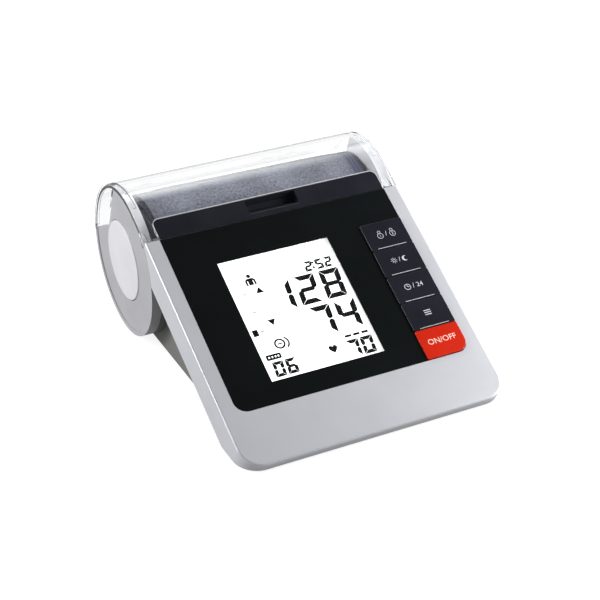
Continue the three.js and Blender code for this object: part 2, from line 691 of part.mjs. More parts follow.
const hingeParts = [-1, 1].map((side) => (side * HINGE_SPACING) / 2);
const lidKnuckleHalf = LID_KNUCKLE_LENGTH / 2;
const caseKnuckles = hingeParts.flatMap((x) => [
  [x - lidKnuckleHalf - GAP - KNUCKLE_LENGTH, x - lidKnuckleHalf - GAP],
  [x + lidKnuckleHalf + GAP, x + lidKnuckleHalf + GAP + KNUCKLE_LENGTH],
]);
const lidKnuckles = hingeParts.map((x) => [x - lidKnuckleHalf, x + lidKnuckleHalf]);
const knuckle = (radius, [x0, x1], extra = 0) => {
  return rodX(radius, x0 - extra, x1 + extra, HINGE_Y, HINGE_RISE, 28);
};
const rimDrop = TUBE_RADIUS - Math.sqrt(TUBE_RADIUS ** 2 - PARTING ** 2); // face plane to rim
const pinHole = () => rodX(PIN_RADIUS + GAP, -BEYOND, BEYOND, HINGE_Y, HINGE_RISE, 20);

function cuffTrough() {
  const rear = -Math.asin(GAP / TUBE_RADIUS);
  const rim = RIM_ANGLE - 2 * Math.PI;
  const wall = polygon([...arcPoints(TUBE_RADIUS, rear, rim), ...arcPoints(TUBE_INSIDE, rim, rear)]);
  const lip = block(
    -TROUGH_HALF, TROUGH_HALF, -PARTING, -PARTING + COMPARTMENT_LIP, -rimDrop - LIP_OVERLAP,
    -TUBE_WALL - GAP,
  );
  const body = join(section(wall, -TROUGH_HALF, TROUGH_HALF), toTube(lip));
  return cut(
    join(body, ...caseKnuckles.map((ends) => knuckle(KNUCKLE_RADIUS, ends))),
    ...lidKnuckles.map((ends) => knuckle(KNUCKLE_RADIUS + GAP, ends, GAP)),
    pinHole(),
  );
}

// The corner of the lid's end wall, grown by the clearance on the grey end cap's side
function endNotch(clearance) {
  const turn = clearance / TUBE_INSIDE;
  return polygon([
    polar(BADGE_RADIUS + NOTCH_MARGIN - clearance, NOTCH_CORNER),
    ...arcPoints(TUBE_RADIUS - TUBE_WALL / 2, NOTCH_START - turn, NOTCH_END + turn),
  ]);
}

// Ends are named by side, -1 for the left as the user sees it and 1 for the right.
const onSide = (side, x0, x1) => (side > 0 ? [x0, x1] : [-x1, -x0]);

function endCap(side) {
  const lidZone = polygon([
    ...arcPoints(TUBE_INSIDE - GAP, 0, RIM_ANGLE),
    ...arcPoints(2 * TUBE_RADIUS, RIM_ANGLE, 0),
  ]);
  const disc = (radius, x0, x1, sides = TUBE_SIDES) => rodX(radius, ...onSide(side, x0, x1), 0, 0, sides);
  const beyond = onSide(side, CAP_START - END_CAP_SPIGOT - ROOT, BEYOND);
  const spigot = cut(
    disc(TUBE_INSIDE - GAP, CAP_START - END_CAP_SPIGOT, CAP_START + ROOT),
    disc(TUBE_INSIDE - GAP - SPIGOT_WALL, 0, CAP_START + ROOT),
  );
  const recess = HALF_WIDTH - END_CAP_RECESS;
  return cut(
    join(disc(TUBE_RADIUS, CAP_START, HALF_WIDTH), spigot),
    section(lidZone, ...beyond),
    section(endNotch(1.2 * GAP), ...beyond),
    disc(TUBE_RADIUS - END_CAP_RIM, recess, BEYOND),
    disc(BADGE_RADIUS + GAP, recess - BADGE_THICKNESS, BEYOND, BADGE_SIDES),
  );
}

function endBadge(side) {
  const inner = HALF_WIDTH - END_CAP_RECESS - BADGE_THICKNESS + GAP;
  const profile = [
    [0, inner], [BADGE_RADIUS, inner], [BADGE_RADIUS, HALF_WIDTH - BADGE_EDGE],
    [BADGE_RADIUS - BADGE_EDGE, HALF_WIDTH], [0, HALF_WIDTH],
  ];
  const disc = new THREE.LatheGeometry(profile.map(([r, x]) => new THREE.Vector2(r, x)), BADGE_SIDES);
  return disc.rotateZ(-side * Math.PI / 2);
}

function clearLid() {
  const rear = Math.asin(GAP / TUBE_RADIUS);
  const tip = facePoint(PARTING, 0);
  const tipInside = facePoint(PARTING, -TUBE_WALL);
  const shell = polygon([
    ...arcPoints(TUBE_RADIUS, rear, TANGENT_ANGLE),
    tip,
    tipInside,
    ...arcPoints(TUBE_INSIDE, TANGENT_ANGLE, rear),
  ]);
  const ribEnd = RIM_ANGLE - (2 * GAP) / TUBE_RADIUS;
  const rib = polygon([
    facePoint(0, 0),
    tip,
    facePoint(PARTING, GAP - rimDrop),
    ...arcPoints(TUBE_INSIDE, ribEnd, TANGENT_ANGLE),
  ]);
  const endWalls = [-1, 1].flatMap((side) => [
    section(rib, ...onSide(side, HALF_WIDTH - LID_END_RIB, HALF_WIDTH)),
    section(endNotch(0), ...onSide(side, HALF_WIDTH - LID_END_RIB, HALF_WIDTH)),
  ]);
  const corner = STRIP_CORNER + GAP;
  const stripOpening = rounded(
    panelLeft - GAP, panelRight + GAP, -PARTING - ROOT, -STRIP_OFFSET + GAP, [0, 0, corner, corner],
  );
  const body = join(section(shell, -HALF_WIDTH, HALF_WIDTH), ...endWalls);
  return cut(
    join(body, ...lidKnuckles.map((ends) => knuckle(KNUCKLE_RADIUS, ends))),
    toTube(prism(stripOpening, -TUBE_WALL - ROOT, ROOT)),
    ...caseKnuckles.map((ends) => knuckle(KNUCKLE_RADIUS + GAP, ends, GAP)),
    pinHole(),
  );
}

// Black strip along the lid's front edge, with a finger pocket to lift it by
function latchStrip() {
  const x0 = POCKET_SHIFT - POCKET_WIDTH / 2;
  const x1 = POCKET_SHIFT + POCKET_WIDTH / 2;
  const corners = [0, 0, STRIP_CORNER, STRIP_CORNER];
  const plate = rounded(panelLeft, panelRight, -PARTING, -STRIP_OFFSET, corners);
  const rear = -STRIP_OFFSET;
  const front = -PARTING + COMPARTMENT_LIP + 2 * GAP;
  const pocketRear = rear - POCKET_WALL;
  const pocketFront = -PARTING + POCKET_MARGIN;
  const hollow = polygon([
    [pocketRear, ROOT], [pocketRear, -POCKET_DEPTH], [pocketRear - POCKET_FLOOR, -POCKET_DEPTH],
    [pocketFront, 0], [pocketFront, ROOT],
  ]);
  const tubFloor = -POCKET_DEPTH - POCKET_WALL;
  const tub = polygon([
    [rear, -ROOT], [rear, tubFloor], [rear - POCKET_FLOOR - POCKET_WALL, tubFloor], [front, -TUBE_WALL],
    [front, -ROOT],
  ]);
  return cut(
    join(prism(plate, -TUBE_WALL, 0), section(tub, x0 - POCKET_WALL, x1 + POCKET_WALL)),
    section(hollow, x0, x1),
  );
}

// The rolled cuff is one long pad wound up on itself. Its far end holds no bladder and is thinner,
// so the outside of the roll is nearly round.

const rollRadius = (2 * TUBE_INSIDE - ROLL_HEADROOM - GAP) / 2;
const rollDrop = TUBE_INSIDE - GAP - rollRadius;

function cuffRoll() {
  const thickness = (turn) => {
    const thinStart = CUFF_TURNS - CUFF_THIN_TURNS;
    const thin = THREE.MathUtils.smoothstep(turn, thinStart, thinStart + CUFF_TAPER_TURNS);
    return THREE.MathUtils.lerp(CUFF_THICKNESS, CUFF_END_THICKNESS, thin);
  };
  const lay = (turn) => {
    if (turn < 1) return (CUFF_THICKNESS + CUFF_LAYER_GAP) * turn;
    return lay(turn - 1) + thickness(turn - 1) + CUFF_LAYER_GAP;
  };
  const core = rollRadius - lay(CUFF_TURNS) - thickness(CUFF_TURNS);
  const steps = Math.round(CUFF_TURNS * CUFF_TURN_STEPS);
  const turns = Array.from({ length: steps + 1 }, (_, index) => (CUFF_TURNS * index) / steps);
  const angleAt = (turn) => 2 * Math.PI * (turn - CUFF_TURNS) + CUFF_END_ANGLE;
  const inner = turns.map((turn) => polar(core + lay(turn), angleAt(turn)));
  const outer = turns.map((turn) => polar(core + lay(turn) + thickness(turn), angleAt(turn)));
  const gaps = turns.filter((turn) => turn > 1).map((turn) => {
    return lay(turn) - lay(turn - 1) - thickness(turn - 1);
  });
  console.log(`least gap between the cuff's layers: ${Math.min(...gaps).toFixed(2)} mm`);
  const shape = polygon([...inner, ...outer.reverse()]);
  return section(shape, ROLL_SHIFT - ROLL_LENGTH / 2, ROLL_SHIFT + ROLL_LENGTH / 2);
}

// Pump, valve, sensor and air lines

const motorEnd = PUMP_START + MOTOR_LENGTH;
const headStart = motorEnd + GAP;
const headEnd = headStart + PUMP_HEAD_LENGTH;
const nippleZ = pumpZ + PUMP_RADIUS / 2;
const valveEnd = VALVE_START + VALVE_LENGTH;
const manifoldStart = valveEnd + 2 * NIPPLE_LENGTH + 3 * GAP;
const manifoldEnd = manifoldStart + MANIFOLD_LENGTH;
const manifoldX = (manifoldStart + manifoldEnd) / 2;
const manifoldZ = socketZ;
const manifoldTop = manifoldZ + MANIFOLD_SIZE / 2;
const pumpLineX = manifoldX - MANIFOLD_SPACING / 2;
const sensorX = manifoldX + MANIFOLD_SPACING / 2;

function pumpMotor() {
  const can = rodX(PUMP_RADIUS, PUMP_START, motorEnd, pumpY, pumpZ, 32);
  return cut(can, rodX(SHAFT_RADIUS + GAP, PUMP_START + MOTOR_END_WALL, BEYOND, pumpY, pumpZ, 16));
}

function pumpHead() {
  const chamberEnd = headEnd - 2 * PUMP_WALL;
  const chamber = rodX(PUMP_RADIUS - PUMP_WALL, headStart + PUMP_WALL, chamberEnd, pumpY, pumpZ, 28);
  const nipple = rodX(NIPPLE_RADIUS, headEnd - ROOT, headEnd + NIPPLE_LENGTH, pumpY, nippleZ, 12);
  return cut(
    join(rodX(PUMP_RADIUS, headStart, headEnd, pumpY, pumpZ, 32), nipple),
    chamber,
    rodX(SHAFT_RADIUS + GAP, headStart - ROOT, headStart + PUMP_WALL + ROOT, pumpY, pumpZ, 16),
    rodX(NIPPLE_RADIUS / 2, chamberEnd - ROOT, BEYOND, pumpY, nippleZ, 8),
  );
}

function motorShaft() {
  const crankStart = headStart + PUMP_WALL + CRANK_GAP;
  return join(
    rodX(SHAFT_RADIUS, PUMP_START + MOTOR_END_WALL + GAP, crankStart + ROOT, pumpY, pumpZ, 16),
    rodX(CRANK_RADIUS, crankStart, crankStart + CRANK_THICKNESS, pumpY, pumpZ + CRANK_OFFSET, 28),
  );
}

function exhaustValve() {
  const half = VALVE_SIZE / 2;
  return cut(
    join(
      block(VALVE_START, valveEnd, pumpY - half, pumpY + half, pumpZ - half, pumpZ + half),
      rodX(NIPPLE_RADIUS, valveEnd - ROOT, valveEnd + NIPPLE_LENGTH, pumpY, manifoldZ, 12),
    ),
    rodX(PLUNGER_RADIUS + GAP, VALVE_START - ROOT, valveEnd - VALVE_END_WALL, pumpY, pumpZ, 16),
    rodX(NIPPLE_RADIUS / 2, valveEnd - VALVE_END_WALL - ROOT, BEYOND, pumpY, manifoldZ, 8),
  );
}

function valvePlunger() {
  const capEnd = VALVE_START - PLUNGER_TRAVEL - GAP;
  const capMiddle = capEnd - PLUNGER_CAP_THICKNESS / 2;
  const rodEnd = valveEnd - VALVE_END_WALL - GAP - PLUNGER_TRAVEL;
  return join(
    rodX(PLUNGER_RADIUS, capMiddle, rodEnd, pumpY, pumpZ, 16),
    rodX(PLUNGER_CAP_RADIUS, capEnd - PLUNGER_CAP_THICKNESS, capEnd, pumpY, pumpZ, 16),
  );
}

const sensorY = -(TUBE_RADIUS + CASE_WALL + SENSOR_SIZE + SENSOR_MARGIN);

function pressureSensor() {
  const top = boardBottom - GAP;
  const bottom = top - SENSOR_HEIGHT;
  const half = SENSOR_SIZE / 2;
  return cut(
    join(
      block(sensorX - half, sensorX + half, sensorY - half, sensorY + half, bottom, top),
      rodZ(NIPPLE_RADIUS, bottom - NIPPLE_LENGTH, bottom + ROOT, sensorX, sensorY, 12),
    ),
    rodZ(NIPPLE_RADIUS / 2, -BEYOND, bottom + 2 * ROOT, sensorX, sensorY, 8),
  );
}

// A small block that joins the air lines of pump, valve, sensor and cuff socket
function airManifold() {
  const half = MANIFOLD_SIZE / 2;
  const body = block(
    manifoldStart, manifoldEnd, pumpY - half, pumpY + half, manifoldZ - half, manifoldTop,
  );
  const along = (radius, extra) => {
    return rodX(radius, manifoldStart - extra, manifoldEnd + extra, pumpY, manifoldZ, 12);
  };
  const upwards = (radius, x, extra) => rodZ(radius, manifoldZ, manifoldTop + extra, x, pumpY, 12);
  const lines = [pumpLineX, sensorX];
  const nipples = lines.map((x) => upwards(NIPPLE_RADIUS, x, NIPPLE_LENGTH));
  return cut(
    join(body, along(NIPPLE_RADIUS, NIPPLE_LENGTH), ...nipples),
    along(NIPPLE_RADIUS / 2, NIPPLE_LENGTH + ROOT),
    ...lines.map((x) => upwards(NIPPLE_RADIUS / 2, x, NIPPLE_LENGTH + ROOT)),
  );
}

// Air hoses slip over the nipples at both ends, and run straight over them.

const manifoldTip = manifoldTop + NIPPLE_LENGTH;
const overManifold = (x) => [
  [x, pumpY, manifoldTip + HOSE_LEAD], [x, pumpY, manifoldTip], [x, pumpY, manifoldTop + NIPPLE_LENGTH / 2],
  [x, pumpY, manifoldTop + GAP],
];

function pumpHose() {
  const tip = headEnd + NIPPLE_LENGTH;
  const over = pumpZ + VALVE_SIZE / 2 + HOSE_RADIUS + HOSE_ROOM;
  return hose([
    [headEnd + GAP, pumpY, nippleZ], [headEnd + NIPPLE_LENGTH / 2, pumpY, nippleZ], [tip, pumpY, nippleZ],
    [tip + HOSE_LEAD, pumpY, nippleZ], [VALVE_START, pumpY, over], [valveEnd - HOSE_ROOM, pumpY, over],
    [pumpLineX - HOSE_ROOM, pumpY, over + HOSE_ROOM / 2], ...overManifold(pumpLineX),
  ]);
}

function sensorHose() {
  const nippleBase = boardBottom - GAP - SENSOR_HEIGHT;
  const [endY, endZ] = facePoint(-sensorY, nippleBase - GAP);
  const [tipY, tipZ] = facePoint(-sensorY, nippleBase - NIPPLE_LENGTH);
  return hose([
    ...overManifold(sensorX).reverse(),
    [sensorX, tipY, tipZ], [sensorX, (tipY + endY) / 2, (tipZ + endZ) / 2], [sensorX, endY, endZ],
  ]);
}

const straightHose = (x0, x1) => {
  return hose([x0, (x0 + x1) / 2, x1].map((x) => [x, pumpY, manifoldZ]));
};

const socketOuter = BASE_HALF + SOCKET_FLANGE + GAP;
const socketInner = socketOuter - SOCKET_DEPTH - SOCKET_WALL;

function airSocket() {
  return cut(
    join(
      rodX(SOCKET_RADIUS, socketInner, socketOuter, socketY, socketZ, 24),
      rodX(SOCKET_RADIUS + SOCKET_WALL, BASE_HALF + GAP, socketOuter, socketY, socketZ, 24),
      rodX(NIPPLE_RADIUS, socketInner - NIPPLE_LENGTH, socketInner + ROOT, socketY, socketZ, 12),
    ),
    rodX(SOCKET_BORE, socketOuter - SOCKET_DEPTH, BEYOND, socketY, socketZ, 24),
    rodX(NIPPLE_RADIUS / 2, -BEYOND, socketOuter, socketY, socketZ, 8),
  );
}

function powerJack() {
  const outer = BASE_HALF;
  const half = JACK_SIZE / 2;
  const body = cut(
    block(outer - JACK_DEPTH, outer, jackY - half, jackY + half, jackZ - half, jackZ + half),
    rodX(JACK_BORE, outer - JACK_DEPTH + JACK_WALL, BEYOND, jackY, jackZ, 24),
  );
  return join(body, rodX(JACK_PIN, outer - JACK_DEPTH + ROOT, outer - ROOT, jackY, jackZ, 12));
}

function screw([x, y]) {
  const head = -CASE_SIDE_DEPTH;
  const seat = head + SCREW_HEAD_HEIGHT;
  const length = SCREW_SLOT_LENGTH / 2;
  const width = SCREW_SLOT_WIDTH / 2;
  return cut(
    join(
      rodZ(SCREW_HEAD_RADIUS, head, seat, x, y, 16),
      rodZ(SCREW_RADIUS, seat - SCREW_HEAD_HEIGHT / 4, FLANGE_TOP + SCREW_LENGTH - GAP, x, y, 12),
    ),
    block(x - length, x + length, y - width, y + width, head - ROOT, head + SCREW_SLOT_DEPTH),
    block(x - width, x + width, y - length, y + length, head - ROOT, head + SCREW_SLOT_DEPTH),
  );
}

// The assembly

place(face, 'top_case', topCase(), silver());
place(face, 'display_panel', panel(), blackGloss());
place(face, 'display_window', block(
  lcdLeft + GAP, lcdRight - GAP, lcdBottom + GAP, lcdTop - GAP, -PANEL_THICKNESS, 0,
), finish(0xf4f6f6, 0.05));
place(face, 'lcd_glass', lcdGlass(), finish(0xf2f4f4, 0.1));
place(face, 'lcd_backlight', backlight(), finish(0xffffff, 0.6));
place(face, 'lcd_connector', lcdConnector(), finish(0xd8a0a8, 0.8));
for (let index = 0; index < KEY_COUNT - 1; index += 1) {
  place(face, `function_key_${index + 1}`, key(index), keyPlastic());
}
place(face, 'power_key', key(KEY_COUNT - 1), finish(0xde2a10, 0.4));
place(face, 'key_mat', keyMat(), rubber());
place(face, 'main_board', mainBoard(), boardGreen());
const boardFace = boardBottom - GAP; // underside of the board, where the parts on it start
const chipTop = lcdTop - CHIP_SETBACK;
place(face, 'processor_chip', block(
  -CHIP_SIZE / 2, CHIP_SIZE / 2, chipTop - CHIP_SIZE, chipTop, boardFace - CHIP_THICKNESS, boardFace,
), finish(0x1c1c1e, 0.5));
place(face, 'beeper', rodZ(
  BEEPER_RADIUS, boardFace - BEEPER_HEIGHT, boardFace, lcdLeft, lcdTop - BEEPER_SETBACK, 24,
), rubber());
place(face, 'pressure_sensor', pressureSensor(), lightPlastic());
postPlaces.forEach((point, index) => place(face, `case_screw_${index + 1}`, screw(point), steel()));

place(tube, 'base_case', baseCase(), darkPlastic());
place(tube, 'battery_door', batteryDoor(), darkPlastic());
[[0, -1], [0, 1], [1, -1], [1, 1]].forEach(([row, side], index) => {
  place(tube, `battery_${index + 1}`, battery(row, side), finish(0x3c6e9c, 0.4, 0.3));
});
place(tube, 'battery_bridge', contact(-1, [0, 1]), brass());
place(tube, 'battery_contact_plus', contact(1, [0]), brass());
place(tube, 'battery_contact_minus', contact(1, [1]), brass());
footPlaces.forEach(([x, y], index) => {
  const foot = rodZ(FOOT_RADIUS, TABLE, BASE_BOTTOM + FOOT_SEAT - GAP, x, y, 24);
  place(tube, `foot_${index + 1}`, foot, rubber());
});

place(tube, 'cuff_trough', cuffTrough(), greyPlastic());
place(tube, 'end_cap_left', endCap(-1), greyPlastic());
place(tube, 'end_cap_right', endCap(1), greyPlastic());
place(tube, 'end_badge_left', endBadge(-1), lightPlastic());
place(tube, 'end_badge_right', endBadge(1), lightPlastic());
place(tube, 'clear_lid', clearLid(), finish(0xdfe6ea, 0.08));
place(face, 'latch_strip', latchStrip(), finish(0x22242a, 0.3));
hingeParts.forEach((x, index) => {
  const half = lidKnuckleHalf + GAP + KNUCKLE_LENGTH - PIN_INSET;
  const name = index === 0 ? 'hinge_pin_left' : 'hinge_pin_right';
  place(tube, name, rodX(PIN_RADIUS, x - half, x + half, HINGE_Y, HINGE_RISE, 16), steel());
});
const roll = place(tube, 'cuff_roll', cuffRoll(), finish(0x7c7f86, 0.9));
roll.position.z = -rollDrop;

place(tube, 'pump_motor', pumpMotor(), steel());
place(tube, 'pump_head', pumpHead(), lightPlastic());
place(tube, 'motor_shaft', motorShaft(), steel());
place(tube, 'exhaust_valve', exhaustValve(), steel());
place(tube, 'valve_plunger', valvePlunger(), brass());
place(tube, 'air_manifold', airManifold(), lightPlastic());
place(tube, 'pump_hose', pumpHose(), silicone());
place(tube, 'sensor_hose', sensorHose(), silicone());
place(tube, 'valve_hose', straightHose(valveEnd + GAP, manifoldStart - GAP), silicone());
place(tube, 'socket_hose', straightHose(manifoldEnd + GAP, socketInner - GAP), silicone());
place(tube, 'air_socket', airSocket(), lightPlastic());
place(tube, 'power_jack', powerJack(), rubber());

monitor.updateMatrixWorld(true);
const box = new THREE.Box3().setFromObject(monitor, true);
const middle = box.getCenter(new THREE.Vector3());
monitor.position.set(-middle.x, -middle.y, -box.min.z);

export default monitor;
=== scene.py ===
# A desk-top digital blood pressure monitor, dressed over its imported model.
# Metres, +Z up. The person who uses it sits on the -Y side, and +X is on their right.

import json
import math

import bmesh
import bpy
from mathutils import Matrix, Vector


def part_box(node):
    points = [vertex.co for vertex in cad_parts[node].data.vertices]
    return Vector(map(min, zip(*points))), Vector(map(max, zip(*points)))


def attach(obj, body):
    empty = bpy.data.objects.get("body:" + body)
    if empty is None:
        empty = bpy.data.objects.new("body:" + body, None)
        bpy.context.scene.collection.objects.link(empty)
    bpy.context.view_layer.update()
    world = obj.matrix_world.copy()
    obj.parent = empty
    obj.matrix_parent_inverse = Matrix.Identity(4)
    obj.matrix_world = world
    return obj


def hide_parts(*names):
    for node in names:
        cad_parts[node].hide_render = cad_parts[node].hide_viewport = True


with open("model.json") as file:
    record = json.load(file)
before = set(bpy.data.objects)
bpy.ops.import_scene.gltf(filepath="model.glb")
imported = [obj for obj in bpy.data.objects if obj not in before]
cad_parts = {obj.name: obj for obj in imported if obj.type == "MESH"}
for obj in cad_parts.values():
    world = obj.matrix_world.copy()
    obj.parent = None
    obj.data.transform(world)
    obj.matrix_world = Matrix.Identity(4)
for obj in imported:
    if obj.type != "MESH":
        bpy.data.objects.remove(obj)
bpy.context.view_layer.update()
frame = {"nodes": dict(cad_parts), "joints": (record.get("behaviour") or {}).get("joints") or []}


# Camera: it stands before the monitor's left corner and looks down on it through a long lens, so
# that its frame is the photograph's.
CAMERA_PLACE = (-0.3480, -0.7193, 0.4943)
CAMERA_TURN = (59.813, 0.434, -26.447)
CAMERA_LENS = 95.8
CAMERA_SENSOR = 36
bpy.ops.object.select_all(action="DESELECT")
bpy.ops.object.camera_add(location=CAMERA_PLACE, rotation=[math.radians(a) for a in CAMERA_TURN])
camera = bpy.context.object
camera.data.lens = CAMERA_LENS
camera.data.sensor_width = CAMERA_SENSOR
bpy.context.scene.camera = camera
bpy.context.scene.view_settings.view_transform = "Standard"


# Studio: white paper on the floor and a bright backdrop in the sky behind, soft light from all round
# that is dimmer overhead, a soft box high behind that shines on the lid, and a soft lamp on either side.
FLOOR_SIZE = 6
FLOOR_WHITE = 0.32
FLOOR_LIFT = 0.86
FLOOR_SHINE = 0.35
LOW_SKY = 0.3
HIGH_SKY_THROUGH = 0.6
# Each step in the sky goes from one place to another, and from one level of light to another.
DOME_STEP = (0.1, 0.75, 0.74, 0.02)
BACKDROP_SIDE = (0.15, 0.45, 0, 1)
BACKDROP_TOP = (0.52, 0.6, 1, 0)
SOFT_BOX_FRONT = (0.61, 0.65, 0, 4.6)
SOFT_BOX_BACK = (0.72, 0.9, 1, 0)
SOFT_BOX_SIDES = (0.08, 0.36, 1, 0)
SOFT_BOX_MIDDLE = 0.2
WHITE = (1, 1, 1, 1)
MONITOR_MIDDLE = Vector((0, 0, 0.04))
LAMPS = {
    "left_lamp": ((-1.30, 0.62, 0.66), 0.7, 19.5),
    "right_lamp": ((0.5, -0.2, 0.28), 0.35, 5.0),
}


def adjust(node, **values):
    """Sets a node's own sockets. An underscore in a name stands for a space."""
    for socket, value in values.items():
        node.inputs[socket.replace("_", " ")].default_value = value


def math_node(tree, operation, first, second=0):
    node = tree.nodes.new("ShaderNodeMath")
    node.operation = operation
    for socket, value in zip(node.inputs, (first, second)):
        if isinstance(value, (int, float)):
            socket.default_value = value
        else:
            tree.links.new(value, socket)
    return node.outputs[0]


def step_node(tree, value, start, end, low, high, curve="SMOOTHSTEP"):
    """A step from one level to another, while the value goes from start to end."""
    step = tree.nodes.new("ShaderNodeMapRange")
    step.interpolation_type = curve
    adjust(step, From_Min=start, From_Max=end, To_Min=low, To_Max=high)
    tree.links.new(value, step.inputs["Value"])
    return step.outputs[0]


def new_material(name):
    material = bpy.data.materials.new(name)
    material.use_nodes = True
    return material, material.node_tree, material.node_tree.nodes["Principled BSDF"]


world = bpy.data.worlds.new("studio_light")
bpy.context.scene.world = world
world.use_nodes = True
sky = world.node_tree
direction = sky.nodes.new("ShaderNodeTexCoord")
place = sky.nodes.new("ShaderNodeSeparateXYZ")
sky.links.new(direction.outputs["Generated"], place.inputs[0])
right, back, up = place.outputs
path = sky.nodes.new("ShaderNodeLightPath")
through = math_node(sky, "MAXIMUM", math_node(sky, "LESS_THAN", up, LOW_SKY), HIGH_SKY_THROUGH)
through = math_node(sky, "MULTIPLY", path.outputs["Is Transmission Ray"], through)
shown = math_node(sky, "MAXIMUM", path.outputs["Is Camera Ray"], through)
backdrop = step_node(sky, back, *BACKDROP_SIDE)
backdrop = math_node(sky, "MULTIPLY", backdrop, step_node(sky, up, *BACKDROP_TOP))
off_middle = math_node(sky, "ABSOLUTE", math_node(sky, "SUBTRACT", right, SOFT_BOX_MIDDLE))
soft_box = math_node(sky, "GREATER_THAN", back, 0)
for value, step in ((up, SOFT_BOX_FRONT), (up, SOFT_BOX_BACK), (off_middle, SOFT_BOX_SIDES)):
    soft_box = math_node(sky, "MULTIPLY", soft_box, step_node(sky, value, *step))
light = math_node(sky, "MAXIMUM", step_node(sky, up, *DOME_STEP, "LINEAR"), backdrop)
light = math_node(sky, "ADD", light, soft_box)
background = sky.nodes["Background"]
sky.links.new(math_node(sky, "MAXIMUM", shown, light), background.inputs["Strength"])
adjust(background, Color=WHITE)

bpy.ops.mesh.primitive_plane_add(size=FLOOR_SIZE, location=(0, 0, 0))
floor = bpy.context.object
floor.name = "studio_floor"
paper, tree, shader = new_material("studio_paper")
adjust(shader, Base_Color=(*[FLOOR_WHITE] * 3, 1), Roughness=1, Specular_IOR_Level=0)
adjust(shader, Emission_Color=WHITE)
path = tree.nodes.new("ShaderNodeLightPath")
seen = math_node(tree, "MAXIMUM", path.outputs["Is Camera Ray"], path.outputs["Is Transmission Ray"])
mirrored = math_node(tree, "MULTIPLY", path.outputs["Is Glossy Ray"], FLOOR_SHINE)
seen = math_node(tree, "MAXIMUM", seen, mirrored)
lift = math_node(tree, "MULTIPLY", seen, FLOOR_LIFT)
tree.links.new(lift, shader.inputs["Emission Strength"])
floor.data.materials.append(paper)

for name, (place, size, power) in LAMPS.items():
    bpy.ops.object.light_add(type="AREA", location=place)
    lamp = bpy.context.object
    lamp.name = name
    lamp.data.size = size
    lamp.data.energy = power
    lamp.rotation_euler = (MONITOR_MIDDLE - Vector(place)).to_track_quat("-Z", "Y").to_euler()


# Top case: one moulded shell of silver painted plastic that slopes down to the front. It has a
# shallow recess for the display panel, openings for the display and the keys, and six posts inside
# that take the screws.
MM = 0.001
CLEARANCE = 0.3 * MM
TOUCH = 0.01 * MM
MERGE = 0.001 * MM
BEYOND = 0.3
PANEL_THICKNESS = 1.5 * MM
PANEL_CORNER = 7 * MM
CASE_CORNER = 13 * MM
CASE_EDGE = 1.3 * MM
CASE_WALL = 2.5 * MM
CASE_LEDGE = 1.5 * MM
FINE_EDGE = 0.25 * MM
CRISP_EDGE = 0.2 * MM
SCREW_NODES = [f"case_screw_{number}" for number in range(1, 7)]
SCREW_LENGTH = 9 * MM
SCREW_POST_RADIUS = 2.8 * MM
SCREW_HOLE_RADIUS = 1.5 * MM
KEY_FLANGE = 2 * MM
SMOOTH_ROUND = 256


def only(piece):
    """Selects this piece alone."""
    bpy.ops.object.select_all(action="DESELECT")
    piece.select_set(True)
    bpy.context.view_layer.objects.active = piece


def settle(piece, matrix=None):
    """Turns the piece to a plane, if one is given, and puts its place into its mesh."""
    only(piece)
    if matrix is not None:
        piece.matrix_world = matrix
    bpy.ops.object.transform_apply(location=True, rotation=True, scale=True)
    return piece


def add(name, primitive, **settings):
    """Adds one primitive, with nothing else selected, and names it."""
    bpy.ops.object.select_all(action="DESELECT")
    primitive(**settings)
    bpy.context.object.name = name
    return bpy.context.object


def block(name, low, high):
    """A rectangular blank between two corners."""
    low, high = Vector(low), Vector(high)
    middle = (low + high) / 2
    return settle(add(name, bpy.ops.mesh.primitive_cube_add, size=1, location=middle, scale=high - low))


def rod(name, radius, start, end, sides=128):
    """A round blank from one point to another."""
    start, end = Vector(start), Vector(end)
    turn = (end - start).to_track_quat("Z", "Y").to_euler()
    return settle(add(
        name, bpy.ops.mesh.primitive_cylinder_add, vertices=sides, radius=radius,
        depth=(end - start).length, location=(start + end) / 2, rotation=turn,
    ))


def peg(x, y, radius, bottom, top, sides=32):
    """A round blank that stands square on the slope."""
    return rod("peg", radius, (x, y, bottom), (x, y, top), sides)


def work(piece, kind, test, edit):
    """Selects the faces or edges whose middle and direction pass the test, and edits them."""
    only(piece)
    bpy.ops.object.mode_set(mode="EDIT")
    bpy.ops.mesh.select_mode(type=kind)
    bpy.ops.mesh.select_all(action="DESELECT")
    mesh = bmesh.from_edit_mesh(piece.data)
    for item in mesh.faces if kind == "FACE" else mesh.edges:
        corners = [vertex.co for vertex in item.verts]
        middle = sum(corners, Vector()) / len(corners)
        heading = item.normal if kind == "FACE" else (corners[1] - corners[0]).normalized()
        if test(middle, heading):
            item.select_set(True)
    bmesh.update_edit_mesh(piece.data)
    edit()
    bpy.ops.object.mode_set(mode="OBJECT")
    return piece


def merge_points(piece, *more):
    """Merges points that lie on each other, and does what else is asked to the whole mesh."""
    only(piece)
    bpy.ops.object.mode_set(mode="EDIT")
    bpy.ops.mesh.select_all(action="SELECT")
    bpy.ops.mesh.remove_doubles(threshold=MERGE)
    for edit in more:
        edit()
    bpy.ops.object.mode_set(mode="OBJECT")
    return piece


def round_edges(piece, test, radius, segments):
    """Rounds the edges that pass the test."""
    return work(piece, "EDGE", test, lambda: bpy.ops.mesh.bevel(
        offset=radius, offset_type="OFFSET", segments=segments, affect="EDGES",
    ))


def round_corners(piece, radius, segments, test=lambda at: True):
    """Rounds the upright edges whose middle passes the test."""
    return round_edges(piece, lambda at, way: abs(way.z) > 0.9 and test(at), radius, segments)


def apply(piece, kind, **settings):
    """Adds one modifier and applies it."""
    only(piece)
    modifier = piece.modifiers.new(kind.lower(), kind)
    for name, value in settings.items():
        setattr(modifier, name, value)
    bpy.ops.object.modifier_apply(modifier=modifier.name)
    return piece


